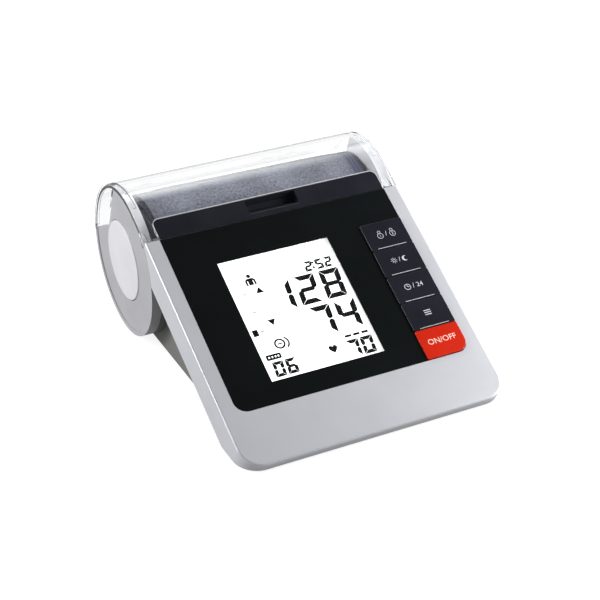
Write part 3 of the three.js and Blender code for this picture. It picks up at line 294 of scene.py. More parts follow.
def cut_away(piece, *tools):
    """Cuts the tools out of the piece."""
    for tool in tools:
        apply(piece, "BOOLEAN", operation="DIFFERENCE", solver="EXACT", object=tool)
        bpy.data.objects.remove(tool)
    return piece


def weld_on(piece, *others):
    """Joins the others to the piece in one closed body."""
    for other in others:
        apply(piece, "BOOLEAN", operation="UNION", solver="EXACT", object=other)
        bpy.data.objects.remove(other)
    return piece


def join_all(name, pieces):
    """Joins separate pieces in one object."""
    only(pieces[0])
    for piece in pieces:
        piece.select_set(True)
    if len(pieces) > 1:
        bpy.ops.object.join()
    bpy.context.object.name = name
    return bpy.context.object


def ease(piece, radius=FINE_EDGE, segments=2, angle=35):
    """Takes the sharpness off every edge, and shades the piece with its flat faces flat."""
    apply(
        piece, "BEVEL", width=radius, segments=segments, limit_method="ANGLE",
        angle_limit=math.radians(angle), use_clamp_overlap=True,
    )
    return shade(piece)


def shade(piece, angle=35):
    only(piece)
    bpy.ops.object.shade_smooth_by_angle(angle=math.radians(angle))
    return apply(piece, "WEIGHTED_NORMAL", keep_sharp=True)


def surface_group():
    """Fine grain and slow patches of a moulded or painted surface, each from 0 to 1."""
    group = bpy.data.node_groups.new("moulded_surface", "ShaderNodeTree")
    for socket in ("Grain Size", "Patch Size"):
        group.interface.new_socket(socket, in_out="INPUT", socket_type="NodeSocketFloat")
    for socket in ("Grain", "Patches"):
        group.interface.new_socket(socket, in_out="OUTPUT", socket_type="NodeSocketFloat")
    nodes, links = group.nodes, group.links
    start, end = nodes.new("NodeGroupInput"), nodes.new("NodeGroupOutput")
    place = nodes.new("ShaderNodeTexCoord")
    for size, result, detail in (("Grain Size", "Grain", 2), ("Patch Size", "Patches", 4)):
        noise = nodes.new("ShaderNodeTexNoise")
        adjust(noise, Detail=detail)
        links.new(place.outputs["Object"], noise.inputs["Vector"])
        links.new(math_node(group, "DIVIDE", 1, start.outputs[size]), noise.inputs["Scale"])
        links.new(noise.outputs["Fac"], end.inputs[result])
    return group


moulded_surface = surface_group()


def tone(red, green, blue):
    """A paint maker's 0 to 255 colour as the linear colour that the nodes take."""
    parts = [part / 255 for part in (red, green, blue)]
    return [part / 12.92 if part <= 0.04045 else ((part + 0.055) / 1.055) ** 2.4 for part in parts] + [1]


def two_tones(tree, value, dark, light, margin):
    """A colour that drifts between two tones with a value from 0 to 1."""
    drift = tree.nodes.new("ShaderNodeValToRGB")
    for stop, place, color in zip(drift.color_ramp.elements, (margin, 1 - margin), (dark, light)):
        stop.position = place
        stop.color = tone(*color)
    tree.links.new(value, drift.inputs["Fac"])
    return drift.outputs["Color"]


def add_relief(tree, shader, height, distance):
    bump = tree.nodes.new("ShaderNodeBump")
    adjust(bump, Distance=distance)
    tree.links.new(height, bump.inputs["Height"])
    tree.links.new(bump.outputs["Normal"], shader.inputs["Normal"])


def add_surface(tree, grain, patch):
    surface = tree.nodes.new("ShaderNodeGroup")
    surface.node_tree = moulded_surface
    adjust(surface, Grain_Size=grain * MM, Patch_Size=patch * MM)
    return surface.outputs["Grain"], surface.outputs["Patches"]


def plastic(name, dark, light, roughness, grain=0.25, relief=0.01, patch=18, **constants):
    """A moulded or painted plastic: its colour and gloss drift a little, and it has a fine grain.
    The tones are 0 to 255, and grain, relief and patch are millimetres."""
    material, tree, shader = new_material(name)
    fine, slow = add_surface(tree, grain, patch)
    tree.links.new(two_tones(tree, slow, dark, light, 0.3), shader.inputs["Base Color"])
    gloss = step_node(tree, slow, 0, 1, 0.9 * roughness, 1.1 * roughness, "LINEAR")
    tree.links.new(gloss, shader.inputs["Roughness"])
    add_relief(tree, shader, fine, relief * MM)
    adjust(shader, **constants)
    return material


def dress(piece, material, slot, body, *nodes):
    """Gives a piece its material, and lets it ride on its body in place of the CAD nodes.
    The slot is not used.
    """
    piece.data.materials.clear()
    piece.data.materials.append(material)
    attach(piece, body)
    if nodes:
        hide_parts(*nodes)
    return piece


# The slope's own axes: x to the right, y up the slope, z square out of it. They start on the middle
# of the panel's rear edge, on its face.
press = next(joint for joint in frame["joints"] if joint["name"] == "power_key_press")
face_normal = -Vector(press["axis"])
panel_low, panel_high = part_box("display_panel")
slope_start = Vector((0, panel_high.y + PANEL_THICKNESS * face_normal.y, panel_high.z))
slope_axes = Matrix(((1, 0, 0), (0, face_normal.z, -face_normal.y), face_normal)).transposed()
slope = Matrix.Translation(slope_start) @ slope_axes.to_4x4()
to_slope = slope.inverted()


def slope_box(node):
    """The lowest and highest corner of a node, along the slope's axes."""
    points = [to_slope @ vertex.co for vertex in frame["nodes"][node].data.vertices]
    low = Vector([min(point[axis] for point in points) for axis in range(3)])
    high = Vector([max(point[axis] for point in points) for axis in range(3)])
    return low, high


def plate(name, low, high, corner, rear_corner=0, segments=10):
    """A flat plate with rounded front corners and, if wanted, rounded rear corners."""
    piece = block(name, low, high)
    for y, radius in ((low[1], corner), (high[1], rear_corner)):
        if radius:
            round_corners(piece, radius, segments, lambda at: abs(at.y - y) < TOUCH)
    return piece


cap_low, cap_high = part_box("end_cap_left")
tube_radius = (cap_high.y - cap_low.y) / 2
tube_y = (cap_low.y + cap_high.y) / 2
tube_z = cap_low.z + tube_radius
tube_on_slope = to_slope @ Vector((0, tube_y, tube_z))
case_low, case_high = slope_box("top_case")
glass_low, glass_high = slope_box("lcd_glass")
panel_low, panel_high = slope_box("display_panel")
last_key_low, last_key_high = slope_box("power_key")
first_key_low, first_key_high = slope_box("function_key_1")
keys_left = first_key_low.x + KEY_FLANGE


def opening(name, front_left, rear_right, bottom, top):
    """A block that cuts an opening, a clearance wider all round than what goes in it."""
    (x0, y0), (x1, y1) = front_left, rear_right
    return block(name, (x0 - CLEARANCE, y0 - CLEARANCE, bottom), (x1 + CLEARANCE, y1 + CLEARANCE, top))


def along_tube(name, radius):
    """A round blank on the tube's axis, in the slope's axes."""
    ends = [(x, *tube_on_slope.yz) for x in (-BEYOND, BEYOND)]
    return rod(name, radius, *ends, SMOOTH_ROUND)


top_case = block("silver_case", case_low, (case_high.x, 0, 0))
round_corners(top_case, CASE_CORNER, 14, lambda at: at.y < case_low.y + MM)
round_edges(top_case, lambda at, way: at.z > -TOUCH and at.y < -TOUCH, CASE_EDGE, 5)
ceiling = -PANEL_THICKNESS - CLEARANCE - CASE_LEDGE
hollow = plate(
    "hollow", (case_low.x + CASE_WALL, case_low.y + CASE_WALL, -BEYOND),
    (case_high.x - CASE_WALL, -CASE_WALL, ceiling), CASE_CORNER - CASE_WALL,
)
rear_wall = along_tube("rear_wall", tube_radius + CLEARANCE + CASE_WALL)
seam = slope_box(SCREW_NODES[0])[1].z + 2 * CLEARANCE - SCREW_LENGTH
cut_away(hollow, cut_away(rear_wall, block("below", [-BEYOND] * 3, (BEYOND, BEYOND, seam))))
tube_space = along_tube("tube_space", tube_radius + CLEARANCE)
recess = plate(
    "recess", (panel_low.x - CLEARANCE, panel_low.y - CLEARANCE, -PANEL_THICKNESS - CLEARANCE),
    (panel_high.x + CLEARANCE, MM, MM), PANEL_CORNER + CLEARANCE,
)
display_opening = opening("display_opening", glass_low.xy, glass_high.xy, -BEYOND, MM)
key_opening = opening(
    "key_opening", (keys_left, last_key_low.y), (last_key_high.x, first_key_high.y), -BEYOND, MM,
)
round_corners(
    key_opening, PANEL_CORNER + CLEARANCE, 10, lambda at: at.x > keys_left and at.y < last_key_low.y,
)
cut_away(top_case, hollow, tube_space, recess, display_opening, key_opening)
posts, holes = [], []
for node in SCREW_NODES:
    low, high = slope_box(node)
    x, y = (low.xy + high.xy) / 2
    posts.append(peg(x, y, SCREW_POST_RADIUS, seam, ceiling + MM, 40))
    holes.append(peg(x, y, SCREW_HOLE_RADIUS, low.z, high.z + CLEARANCE, 24))
weld_on(top_case, join_all("screw_posts", posts))
cut_away(top_case, join_all("screw_holes", holes))
settle(top_case, slope)
cut_away(top_case, block("table_cut", [-BEYOND] * 3, (BEYOND, BEYOND, cap_low.z)))
ease(top_case)
silver_paint = plastic(
    "silver_paint", (202, 203, 209), (206, 207, 213), 0.3, grain=0.16, relief=0.012, Metallic=0.18,
)
dress(top_case, silver_paint, "silver_case", "housing", "top_case")


# Display panel: a sheet of gloss black acrylic, set in the case's recess. It frames the display,
# and leaves its right side to the column of keys.
CUT_REACH = 5 * MM
window_low, window_high = slope_box("display_window")
panel = plate("gloss_panel", panel_low, panel_high, PANEL_CORNER)
cut_away(
    panel,
    opening("display_cut", window_low.xy, window_high.xy, -CUT_REACH, CUT_REACH),
    block(
        "key_cut", (keys_left - CLEARANCE, panel_low.y - MM, -CUT_REACH),
        (panel_high.x + MM, first_key_high.y + CLEARANCE, CUT_REACH),
    ),
)
ease(settle(panel, slope), CRISP_EDGE)
gloss_black = plastic("gloss_black", (17, 20, 20), (21, 24, 24), 0.07, grain=1.5, relief=0.001, patch=30)
dress(panel, gloss_black, "black_panel", "housing", "display_panel")


# Display: a glass cell with a white reflector that glows a little as painted light, under a clear
# window. Its dark segments are thin bars that stand on the glass; the digits lean a little to the right.
SEGMENT_HEIGHT = 0.06 * MM
SLANT = math.tan(math.radians(5.2))
SEVEN_BARS = {
    "0": "abcdef", "1": "bc", "2": "abged", "4": "fgbc", "5": "afgcd", "6": "afgcde", "7": "abc",
    "8": "abcdefg",
}
DIGITS = [
    # text, left and bottom from the window's lower left corner, digit width and height, pitch, bar
    ("2", 47.6, 60.7, 4.8, 6.7, 6.0, 1.5),
    ("52", 54.4, 60.7, 4.8, 6.7, 5.6, 1.5),
    ("1", 23.8, 39.9, 9.5, 19.3, 10.6, 3.2),
    ("28", 36.6, 40.3, 12.3, 19.0, 15.7, 3.2),
    ("74", 37.0, 18.7, 12.3, 19.2, 15.5, 3.35),
    ("70", 49.0, 1.4, 7.5, 11.0, 8.7, 2.35),
    ("06", 3.9, 1.9, 6.3, 9.4, 7.5, 2.0),
]


def bar(name, x0, x1, width, mitre0=0.0, mitre1=0.0):
    """One display segment, a thin bar whose upper side is mitred at both ends."""
    piece = block(name, (x0, -width / 2, 0), (x1, width / 2, SEGMENT_HEIGHT))
    for vertex in piece.data.vertices:
        if vertex.co.y > 0:
            vertex.co.x += mitre0 if vertex.co.x < (x0 + x1) / 2 else -mitre1
    return piece


def copy_of(piece, matrix):
    """A copy with its own mesh, moved to its place. A mirrored copy has its faces turned back out."""
    other = piece.copy()
    other.data = piece.data.copy()
    bpy.context.collection.objects.link(other)
    other.data.transform(matrix)
    if matrix.determinant() < 0:
        other.data.flip_normals()
    return other


def digits(text, left, bottom, width, height, pitch, thick):
    """The bars of a row of digits on the display. There are small gaps between the bars."""
    gap = 0.05 * thick
    half = thick / 2
    lying = bar("lying_bar", gap, width - gap, thick, thick, thick)
    middle = bar("middle_bar", 1.1 * half, width - 1.1 * half, 0.86 * thick)
    round_corners(middle, 0.42 * thick, 2)
    standing = bar("standing_bar", gap, height / 2 - gap, thick, thick)
    round_corners(standing, 0.45 * thick, 2, lambda at: at.x > height / 4)
    shift = Matrix.Translation
    turn_up = Matrix.Rotation(math.pi / 2, 4, "Z")
    turn_down = Matrix.Rotation(-math.pi / 2, 4, "Z")
    lay = {
        "d": (lying, shift((0, half, 0))),
        "a": (lying, shift((width, height - half, 0)) @ Matrix.Rotation(math.pi, 4, "Z")),
        "g": (middle, shift((0, height / 2, 0))),
        "c": (standing, shift((width - half, 0, 0)) @ turn_up),
        "f": (standing, shift((half, height, 0)) @ turn_down),
        "b": (standing, shift((width - half, height, 0)) @ Matrix.Diagonal((1, -1, 1, 1)) @ turn_up),
        "e": (standing, shift((half, 0, 0)) @ Matrix.Diagonal((-1, 1, 1, 1)) @ turn_up),
    }
    lean = Matrix.Identity(4)
    lean[0][1] = SLANT
    made = []
    for index, figure in enumerate(text):
        place = shift((left + index * pitch, bottom, 0)) @ lean
        for letter in SEVEN_BARS[figure]:
            source, turn = lay[letter]
            made.append(copy_of(source, place @ turn))
    for source in (lying, middle, standing):
        bpy.data.objects.remove(source)
    return made


def mark(text, size, x, y, thickness):
    """A printed sign, drawn flat and centred on a point."""
    sign = add("sign", bpy.ops.object.text_add)
    sign.data.body = text
    sign.data.size = size
    sign.data.align_x = "CENTER"
    sign.data.align_y = "CENTER"
    sign.data.extrude = thickness / 2
    sign.data.resolution_u = 4
    bpy.ops.object.convert(target="MESH")
    sign = bpy.context.object
    sign.data.transform(Matrix.Translation((x, y, thickness / 2)))
    return merge_points(sign)


def ring(x, y, radius, width, thickness, sides=32):
    """A flat printed ring."""
    outer = peg(x, y, radius, 0, thickness, sides)
    return cut_away(outer, peg(x, y, radius - width, -MM, MM, sides))


def flat(x0, x1, y0, y1, thickness=SEGMENT_HEIGHT):
    return block("flat_mark", (x0, y0, 0), (x1, y1, thickness))


def mm(*values):
    """Millimetres as metres."""
    return [value * MM for value in values]


def cutter(*sides):
    """A block that cuts a flat mark right through, between two x and two y in millimetres."""
    x0, x1, y0, y1 = mm(*sides)
    return block("cutter", (x0, y0, -MM), (x1, y1, MM))


signs = [
    mark("♥", *mm(4.6, 41.6, 9.4), SEGMENT_HEIGHT),
    mark("▲", *mm(5.2, 16.6, 56.6), SEGMENT_HEIGHT),
    mark("▼", *mm(5.2, 15.4, 35.0), SEGMENT_HEIGHT),
    ring(*mm(13.9, 21.3, 3.3, 1.1), SEGMENT_HEIGHT),
    flat(*mm(12.6, 15.2, 20.9, 21.7)),
    cut_away(ring(*mm(15.5, 21.3, 4.2, 1.0), SEGMENT_HEIGHT), cutter(10, 17.4, 15, 28)),
    peg(*mm(53.5, 65.8, 0.75), 0, SEGMENT_HEIGHT, 16),
    peg(*mm(53.1, 62.6, 0.75), 0, SEGMENT_HEIGHT, 16),
    peg(*mm(14.0, 67.1, 1.2), 0, SEGMENT_HEIGHT, 20),
    cut_away(
        plate("person", (*mm(10.9, 61.0), 0), (*mm(17.1, 65.6), SEGMENT_HEIGHT), *mm(0.5, 2), 5),
        cutter(12.1, 12.6, 60, 64), cutter(15.4, 15.9, 60, 64),
    ),
    flat(*mm(1.9, 5.1, 29.0, 33.2)),
    cut_away(
        plate("memory", (*mm(2.9, 12.8), 0), (*mm(11.8, 16.3), SEGMENT_HEIGHT), *mm(0.7, 0.7), 3),
        *[cutter(x, x + 0.9, 14.0, 15.1) for x in (4.2, 6.1, 8.0, 9.7)],
    ),
]
signs += [flat(*mm(x, x + 3, y, y + 0.55)) for x, y in ((6.2, 31.0), (6.4, 43.6), (6.4, 56.0))]
signs += [flat(*mm(x, x + 4, 14.3, 15.8)) for x in (51.0, 56.2, 61.4)]
for text, *sizes in DIGITS:
    signs += digits(text, *mm(*sizes))
display_corner = Vector((window_low.x, window_low.y, glass_high.z))
segments = join_all("display_segments", signs)
segments.data.transform(Matrix.Translation(display_corner))
settle(segments, slope)
segment_ink = plastic(
    "segment_ink", (4, 5, 6), (7, 8, 10), 0.5, grain=0.3, relief=0.002, Specular_IOR_Level=0.05,
)
dress(segments, segment_ink, "lcd", "housing")


def paint(name, material):
    """Gives a CAD node its finish."""
    frame["nodes"][name].material_slots[0].material = material


# Painted light: the reflector glows a little, which fills in the panel's shadow on the display.
glowing_reflector = plastic(
    "display_reflector_painted_glow", (243, 245, 246), (248, 250, 250), 0.25, grain=0.4, relief=0.001,
    Emission_Color=WHITE, Emission_Strength=0.4,
)
paint("lcd_glass", glowing_reflector)
paint("lcd_backlight", plastic("diffuser", (240, 240, 240), (250, 250, 250), 0.5))
paint("lcd_connector", plastic("pink_elastomer", (205, 150, 160), (218, 165, 174), 0.7))


def clear_plastic(name, tint, roughness, relief=0.004, ior=1.5):
    """Clear plastic with faint moulding waves. Shadow rays pass straight through it."""
    material, tree, shader = new_material(name)
    adjust(shader, Base_Color=tint, Roughness=roughness, IOR=ior, Transmission_Weight=1)
    waves, _ = add_surface(tree, 14, 40)
    add_relief(tree, shader, waves, relief * MM)
    path = tree.nodes.new("ShaderNodeLightPath")
    through = tree.nodes.new("ShaderNodeBsdfTransparent")
    adjust(through, Color=tint)
    mix = tree.nodes.new("ShaderNodeMixShader")
    sources = path.outputs["Is Shadow Ray"], shader.outputs[0], through.outputs[0]
    for source, socket in zip(sources, mix.inputs):
        tree.links.new(source, socket)
    tree.links.new(mix.outputs[0], tree.nodes["Material Output"].inputs["Surface"])
    return material


paint("display_window", clear_plastic("window_acrylic", WHITE, 0.02, relief=0.0005, ior=1.15))


# Keys: five moulded plastic caps in one column, four blue black ones and a red one at the front
# that turns the monitor on and off. Each has a soft edge, printed signs, and a flange that keeps it
# under the case, and dips 0.7 mm when pressed.
KEY_EDGE = 0.3 * MM
KEY_SIDE_CORNER = 0.8 * MM
PRINT_HEIGHT = 0.04 * MM
DASH_LENGTH = 18.4 * MM
DASH_WIDTH = 0.3 * MM
SIGN_SIZE = 5.4 * MM
SIGN_RAISE = 0.4 * MM
NEAR = 0.1 * MM
key_finish = {"grain": 0.2, "relief": 0.005, "Specular_IOR_Level": 0.35}
key_black = plastic("key_black", (25, 27, 35), (30, 32, 40), 0.25, **key_finish)
key_red = plastic("key_red", (194, 32, 6), (202, 36, 8), 0.25, **key_finish)
white_print = plastic("white_print", (196, 198, 204), (206, 208, 212), 0.5)
pale_print = plastic("pale_print", (245, 205, 190), (250, 215, 200), 0.5)


def person(x, y, number):
    """A user's sign: a ring for the head, and a shield with a number in it."""
    return [
        ring(x, y + 1.9 * MM, *mm(1.0, 0.3), PRINT_HEIGHT),
        ring(x, y - 0.7 * MM, *mm(1.9, 0.3), PRINT_HEIGHT),
        mark(number, 2.6 * MM, x, y - 0.7 * MM, PRINT_HEIGHT),
    ]


def sun(x, y):
    rays = []
    for index in range(8):
        ray = flat(*mm(1.25, 1.95, -0.16, 0.16), PRINT_HEIGHT)
        ray.data.transform(Matrix.Translation((x, y, 0)) @ Matrix.Rotation(index * math.pi / 4, 4, "Z"))
        rays.append(ray)
    return rays + [ring(x, y, *mm(0.95, 0.3), PRINT_HEIGHT)]


def moon(x, y):
    disc = peg(x, y, 1.8 * MM, 0, PRINT_HEIGHT, 40)
    return [cut_away(disc, peg(x + 0.9 * MM, y, 1.45 * MM, -MM, MM, 36))]


def clock(x, y):
    return [
        ring(x, y, *mm(2.0, 0.35), PRINT_HEIGHT, 40),
        flat(x - 0.16 * MM, x + 0.16 * MM, y, y + 1.35 * MM, PRINT_HEIGHT),
        flat(x + 0.2 * MM, x + 1.1 * MM, y - 0.14 * MM, y + 0.18 * MM, PRINT_HEIGHT),
    ]


def three_lines(x, y):
    half, thick = mm(2.1, 0.26)
    rows = [y + step for step in mm(-1.35, 0, 1.35)]
    return [flat(x - half, x + half, row - thick, row + thick, PRINT_HEIGHT) for row in rows]


def slash(x, y):
    return [mark("/", 0.8 * SIGN_SIZE, x, y, PRINT_HEIGHT)]


KEY_SIGNS = {
    "function_key_1": lambda x, y: [
        *person(x - 4 * MM, y, "1"), *slash(x, y), *person(x + 4 * MM, y, "2"),
    ],
    "function_key_2": lambda x, y: [*sun(x - 3.6 * MM, y), *slash(x, y), *moon(x + 3.4 * MM, y)],
    "function_key_3": lambda x, y: [
        *clock(x - 3.8 * MM, y), *slash(x, y), mark("24", 4.2 * MM, x + 4 * MM, y, PRINT_HEIGHT),
    ],
    "function_key_4": three_lines,
    "power_key": lambda x, y: [mark("ON/OFF", 0.92 * SIGN_SIZE, x, y, PRINT_HEIGHT)],
}


def key_cap(node):
    """One key with its flange, in the slope's axes."""
    low, high = slope_box(node)
    left = low.x + KEY_FLANGE
    cap = block(f"{node}_cap", (left, low.y, low.z), high)
    front_right = PANEL_CORNER if node == "power_key" else KEY_SIDE_CORNER
    round_corners(cap, front_right, 8, lambda at: at.x > left + MM and at.y < low.y + NEAR)
    round_corners(
        cap, KEY_SIDE_CORNER, 4,
        lambda at: at.z < high.z and (at.x < left + NEAR or at.y > high.y - NEAR),
    )
    round_edges(cap, lambda at, way: at.z > high.z - TOUCH, KEY_EDGE, 4)
    weld_on(cap, block("flange", low, (left + MM, high.y, -PANEL_THICKNESS - 2 * CLEARANCE - CASE_LEDGE)))
    return settle(cap, slope)


key_bodies = {f"function_key_{number}": f"function_button_{number}" for number in range(1, 5)}
key_bodies["power_key"] = "power_button"
for node, body in key_bodies.items():
    low, high = slope_box(node)
    middle_x = (low.x + KEY_FLANGE + high.x) / 2
    middle_y = (low.y + high.y) / 2
    is_power = node == "power_key"
    slot = "red_key" if is_power else "dark_key"
    dress(shade(key_cap(node)), key_red if is_power else key_black, slot, body, node)
    prints = KEY_SIGNS[node](middle_x, middle_y + SIGN_RAISE)
    if not is_power:
        dash_y = low.y + KEY_EDGE + DASH_WIDTH
        ends = middle_x - DASH_LENGTH / 2, middle_x + DASH_LENGTH / 2
        prints.append(flat(*ends, dash_y, dash_y + DASH_WIDTH, PRINT_HEIGHT))
    sign = join_all(f"{node}_print", prints)
    sign.data.transform(Matrix.Translation((0, 0, high.z)))
    settle(sign, slope)
    dress(sign, pale_print if is_power else white_print, slot, body)


# Cuff trough: the lower half of the tube, one moulded plastic shell that carries the hinge knuckles
# behind and a lip in front that the lid closes on. Its dark grey is partly painted shade.
HINGE_BEHIND = 1.7 * MM
HINGE_ABOVE = 0.8 * MM
KNUCKLE_RADIUS = 3 * MM
KNUCKLE_LENGTH = 6 * MM
LID_KNUCKLE = 11.4 * MM
PIN_HOLE_RADIUS = 1.5 * MM
HINGE_PLACES = (-50 * MM, 50 * MM)
TUBE_WALL = 2.5 * MM
LIP_WIDTH = 2.3 * MM
LIP_DROP = 4 * MM
hinge_y = tube_y + tube_radius + HINGE_BEHIND
hinge_z = tube_z + HINGE_ABOVE
slope_turn = math.atan2(-face_normal.y, face_normal.z)
parting = math.asin((tube_on_slope.y - CLEARANCE) / tube_radius)
tangent_angle = math.pi / 2 + slope_turn
trough_low, trough_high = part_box("cuff_trough")
case_half = case_high.x


def score(piece, point, direction, **more):
    """Scores the piece along a plane, or takes off what lies beyond it."""
    work(piece, "FACE", lambda at, way: True, lambda: bpy.ops.mesh.bisect(
        plane_co=point, plane_no=direction, threshold=MERGE, **more,
    ))


def tube_wall(name, x0, x1, outer, inner, start, turn, steps, scores=()):
    """A curved wall about the tube's axis, spun up from a thin strip that is scored at some lines."""
    middle = ((x0 + x1) / 2, tube_y + (outer + inner) / 2, tube_z)
    piece = add(name, bpy.ops.mesh.primitive_plane_add, size=1, location=middle)
    piece.scale = (x1 - x0, outer - inner, 1)
    settle(piece)
    for x in scores:
        score(piece, (x, 0, 0), (1, 0, 0))
    about = Matrix.Translation((0, tube_y, tube_z))
    piece.data.transform(about @ Matrix.Rotation(start, 4, "X") @ about.inverted())
    only(piece)
    bpy.ops.object.mode_set(mode="EDIT")
    bpy.ops.mesh.select_all(action="SELECT")
    bpy.ops.mesh.spin(steps=steps, angle=turn, center=(0, tube_y, tube_z), axis=(-1, 0, 0))
    bpy.ops.object.mode_set(mode="OBJECT")
    return merge_points(piece, bpy.ops.mesh.normals_make_consistent)


def knuckle(name, radius, x0, x1):
    return rod(name, radius, (x0, hinge_y, hinge_z), (x1, hinge_y, hinge_z), 48)


trough = tube_wall(
    "cuff_tub", trough_low.x, trough_high.x, tube_radius, tube_radius - TUBE_WALL,
    -CLEARANCE / tube_radius, -(math.tau - tangent_angle - parting), 128,
)
rim_z = tube_radius * (math.cos(parting) - 1)
lip = block(
    "lip", (trough_low.x, CLEARANCE, rim_z - LIP_DROP / 2),
    (trough_high.x, CLEARANCE + LIP_WIDTH, -TUBE_WALL - CLEARANCE),
)
weld_on(trough, settle(lip, slope))
for x in HINGE_PLACES:
    half = LID_KNUCKLE / 2 + CLEARANCE
    far = half + KNUCKLE_LENGTH
    weld_on(trough, knuckle("knuckle", KNUCKLE_RADIUS, x - far, x + far))
    cut_away(trough, knuckle("lid_room", KNUCKLE_RADIUS + CLEARANCE, x - half, x + half))
cut_away(trough, knuckle("pin_hole", PIN_HOLE_RADIUS, -case_half, case_half))
ease(trough, CRISP_EDGE)
# Dark grey: the base's own colour, and on the trough partly painted shade for the gap beside the end cap.
dark_grey_and_shade = plastic("dark_grey_and_shade", (104, 104, 103), (112, 112, 110), 0.5, grain=0.35, relief=0.02)
dress(trough, dark_grey_and_shade, "dark_case", "housing", "cuff_trough")


# End caps: grey plastic discs that close the tube, each with a raised rim and a pale round badge
# let into it. The lid's clear corner takes the place of the cap's upper rear part.
CAP_RIM = 3 * MM
CAP_RECESS = 0.6 * MM
CAP_EDGE = 0.3 * MM
BADGE_RADIUS = 24 * MM
BADGE_DEPTH = 1.5 * MM
BADGE_EDGE = 0.8 * MM
CAP_REACH = 10 * MM
CAP_SIDES = 192
NOTCH_REACH = 25.6 * MM
NOTCH_CORNER = math.radians(33.4)
NOTCH_START = math.radians(3)
NOTCH_END = math.radians(78)
cap_thickness = case_half - trough_high.x - CLEARANCE


def around(radius, angle):
    """A point about the tube's axis, seen from the right end; the angle runs up from the rear."""
    return Vector((0, tube_y + radius * math.cos(angle), tube_z + radius * math.sin(angle)))


def corner_wall(name, x0, x1, clearance):
    """The lid's end wall between the cap's corner and the tube: a disc cut by two planes."""
    outer = tube_radius - TUBE_WALL / 2
    turn = clearance / (tube_radius - TUBE_WALL)
    middle = around(0, 0)
    wall = rod(name, outer, (x0, *middle.yz), (x1, *middle.yz), 250)
    corner = around(NOTCH_REACH - clearance, NOTCH_CORNER)
    for end, flip in ((around(outer, NOTCH_START - turn), 1), (around(outer, NOTCH_END + turn), -1)):
        along = end - corner
        outwards = Vector((0, along.z, -along.y)) * flip
        score(wall, corner, outwards, use_fill=True, clear_outer=True)
    return wall


grey_plastic = plastic("grey_plastic", (168, 168, 172), (176, 176, 180), 0.42, grain=0.3, relief=0.012)
badge_plastic = plastic("badge_plastic", (214, 214, 218), (222, 222, 226), 0.35, relief=0.006)
for side, word in ((-1, "left"), (1, "right")):
    middle = around(0, 0)
    place = lambda depth: (side * (case_half - depth), *middle.yz)
    cap = rod(f"grey_end_{word}", tube_radius, place(cap_thickness), place(0), CAP_SIDES)
    across_cap = side * case_half - CAP_REACH, side * case_half + CAP_REACH
    lid_zone = tube_wall(
        "lid_zone", *across_cap, 2 * tube_radius, tube_radius - TUBE_WALL - CLEARANCE,
        0, tangent_angle + parting, 160,
    )
    seat_depth = CAP_RECESS + BADGE_DEPTH
    cut_away(
        cap, lid_zone, corner_wall("notch", *across_cap, 1.2 * CLEARANCE),
        rod("recess", tube_radius - CAP_RIM, place(CAP_RECESS), place(-CAP_REACH), CAP_SIDES),
        rod("badge_seat", BADGE_RADIUS + CLEARANCE, place(seat_depth), place(-CAP_REACH)),
    )
    ease(cap, CAP_EDGE, 3)
    dress(cap, grey_plastic, "grey_plastic", "housing", f"end_cap_{word}")
    badge = rod(f"round_badge_{word}", BADGE_RADIUS, place(seat_depth - CLEARANCE), place(0))
    round_edges(badge, lambda at, way: abs(at.x) > case_half - TOUCH, BADGE_EDGE, 4)
    dress(shade(badge), badge_plastic, "pale_badge", "housing", f"end_badge_{word}")


# Lid: a clear curved shell, moulded in one piece with its end walls and hinge knuckles. A shallow
# groove runs round it near each end, and the black strip is fixed in the opening of its flat lip.
LID_END_WALL = 2.4 * MM
GROOVE_START = 2.2 * MM
GROOVE_END = 4 * MM
GROOVE_DEPTH = 0.9 * MM
GROOVE_ABOVE = 3 * MM
STRIP_CORNER = 4 * MM
strip_low, strip_high = slope_box("latch_strip")
groove_lines = [side * (case_half - inset) for side in (-1, 1) for inset in (GROOVE_START, GROOVE_END)]
lid = tube_wall(
    "clear_shell", -case_half - MM, case_half + MM, tube_radius, tube_radius - TUBE_WALL,
    CLEARANCE / tube_radius, tangent_angle - CLEARANCE / tube_radius, 96, groove_lines,
)
down_slope = -(slope_axes @ Vector((0, 1, 0)))
flat_length = tube_on_slope.y - CLEARANCE
work(
    lid, "FACE", lambda at, way: way.dot(down_slope) > 0.99 and at.y < tube_y,
    lambda: bpy.ops.mesh.extrude_region_move(TRANSFORM_OT_translate={"value": down_slope * flat_length}),
)
for side in (-1, 1):
    outer, inner = side * (case_half + 2 * MM), side * (case_half - LID_END_WALL)
    cheek = block(
        "cheek", (min(outer, inner), CLEARANCE, rim_z + CLEARANCE),
        (max(outer, inner), tube_on_slope.y, -MM),
    )
    settle(cheek, slope)
    ends = [(x, tube_y, tube_z) for x in (-BEYOND, BEYOND)]
    cut_away(cheek, rod("inside", tube_radius - TUBE_WALL / 2, *ends, SMOOTH_ROUND))
    outer += side * MM
    weld_on(lid, cheek, corner_wall("corner_wall", min(outer, inner), max(outer, inner), 0))
    beyond = sorted((side * case_half, side * BEYOND))
    cut_away(lid, block("trim", (beyond[0], -BEYOND, -BEYOND), (beyond[1], BEYOND, BEYOND)))


def strip_outline(name, grow, front, bottom, top):
    """The black strip's outline, grown at both sides and behind."""
    low = (strip_low.x - grow, front, bottom)
    return plate(name, low, (strip_high.x + grow, strip_high.y + grow, top), 0, STRIP_CORNER + grow)


cut_away(lid, settle(strip_outline("strip_opening", CLEARANCE, -MM, -CUT_REACH, CUT_REACH), slope))
for x in HINGE_PLACES:
    half = LID_KNUCKLE / 2
    far = half + KNUCKLE_LENGTH + 2 * CLEARANCE
    weld_on(lid, knuckle("lid_knuckle", KNUCKLE_RADIUS, x - half - MM, x + half + MM))
    for x0, x1 in ((x - far, x - half), (x + half, x + far)):
        cut_away(lid, knuckle("case_room", KNUCKLE_RADIUS + CLEARANCE, x0, x1))
cut_away(lid, knuckle("pin_hole", PIN_HOLE_RADIUS, -case_half - MM, case_half + MM))


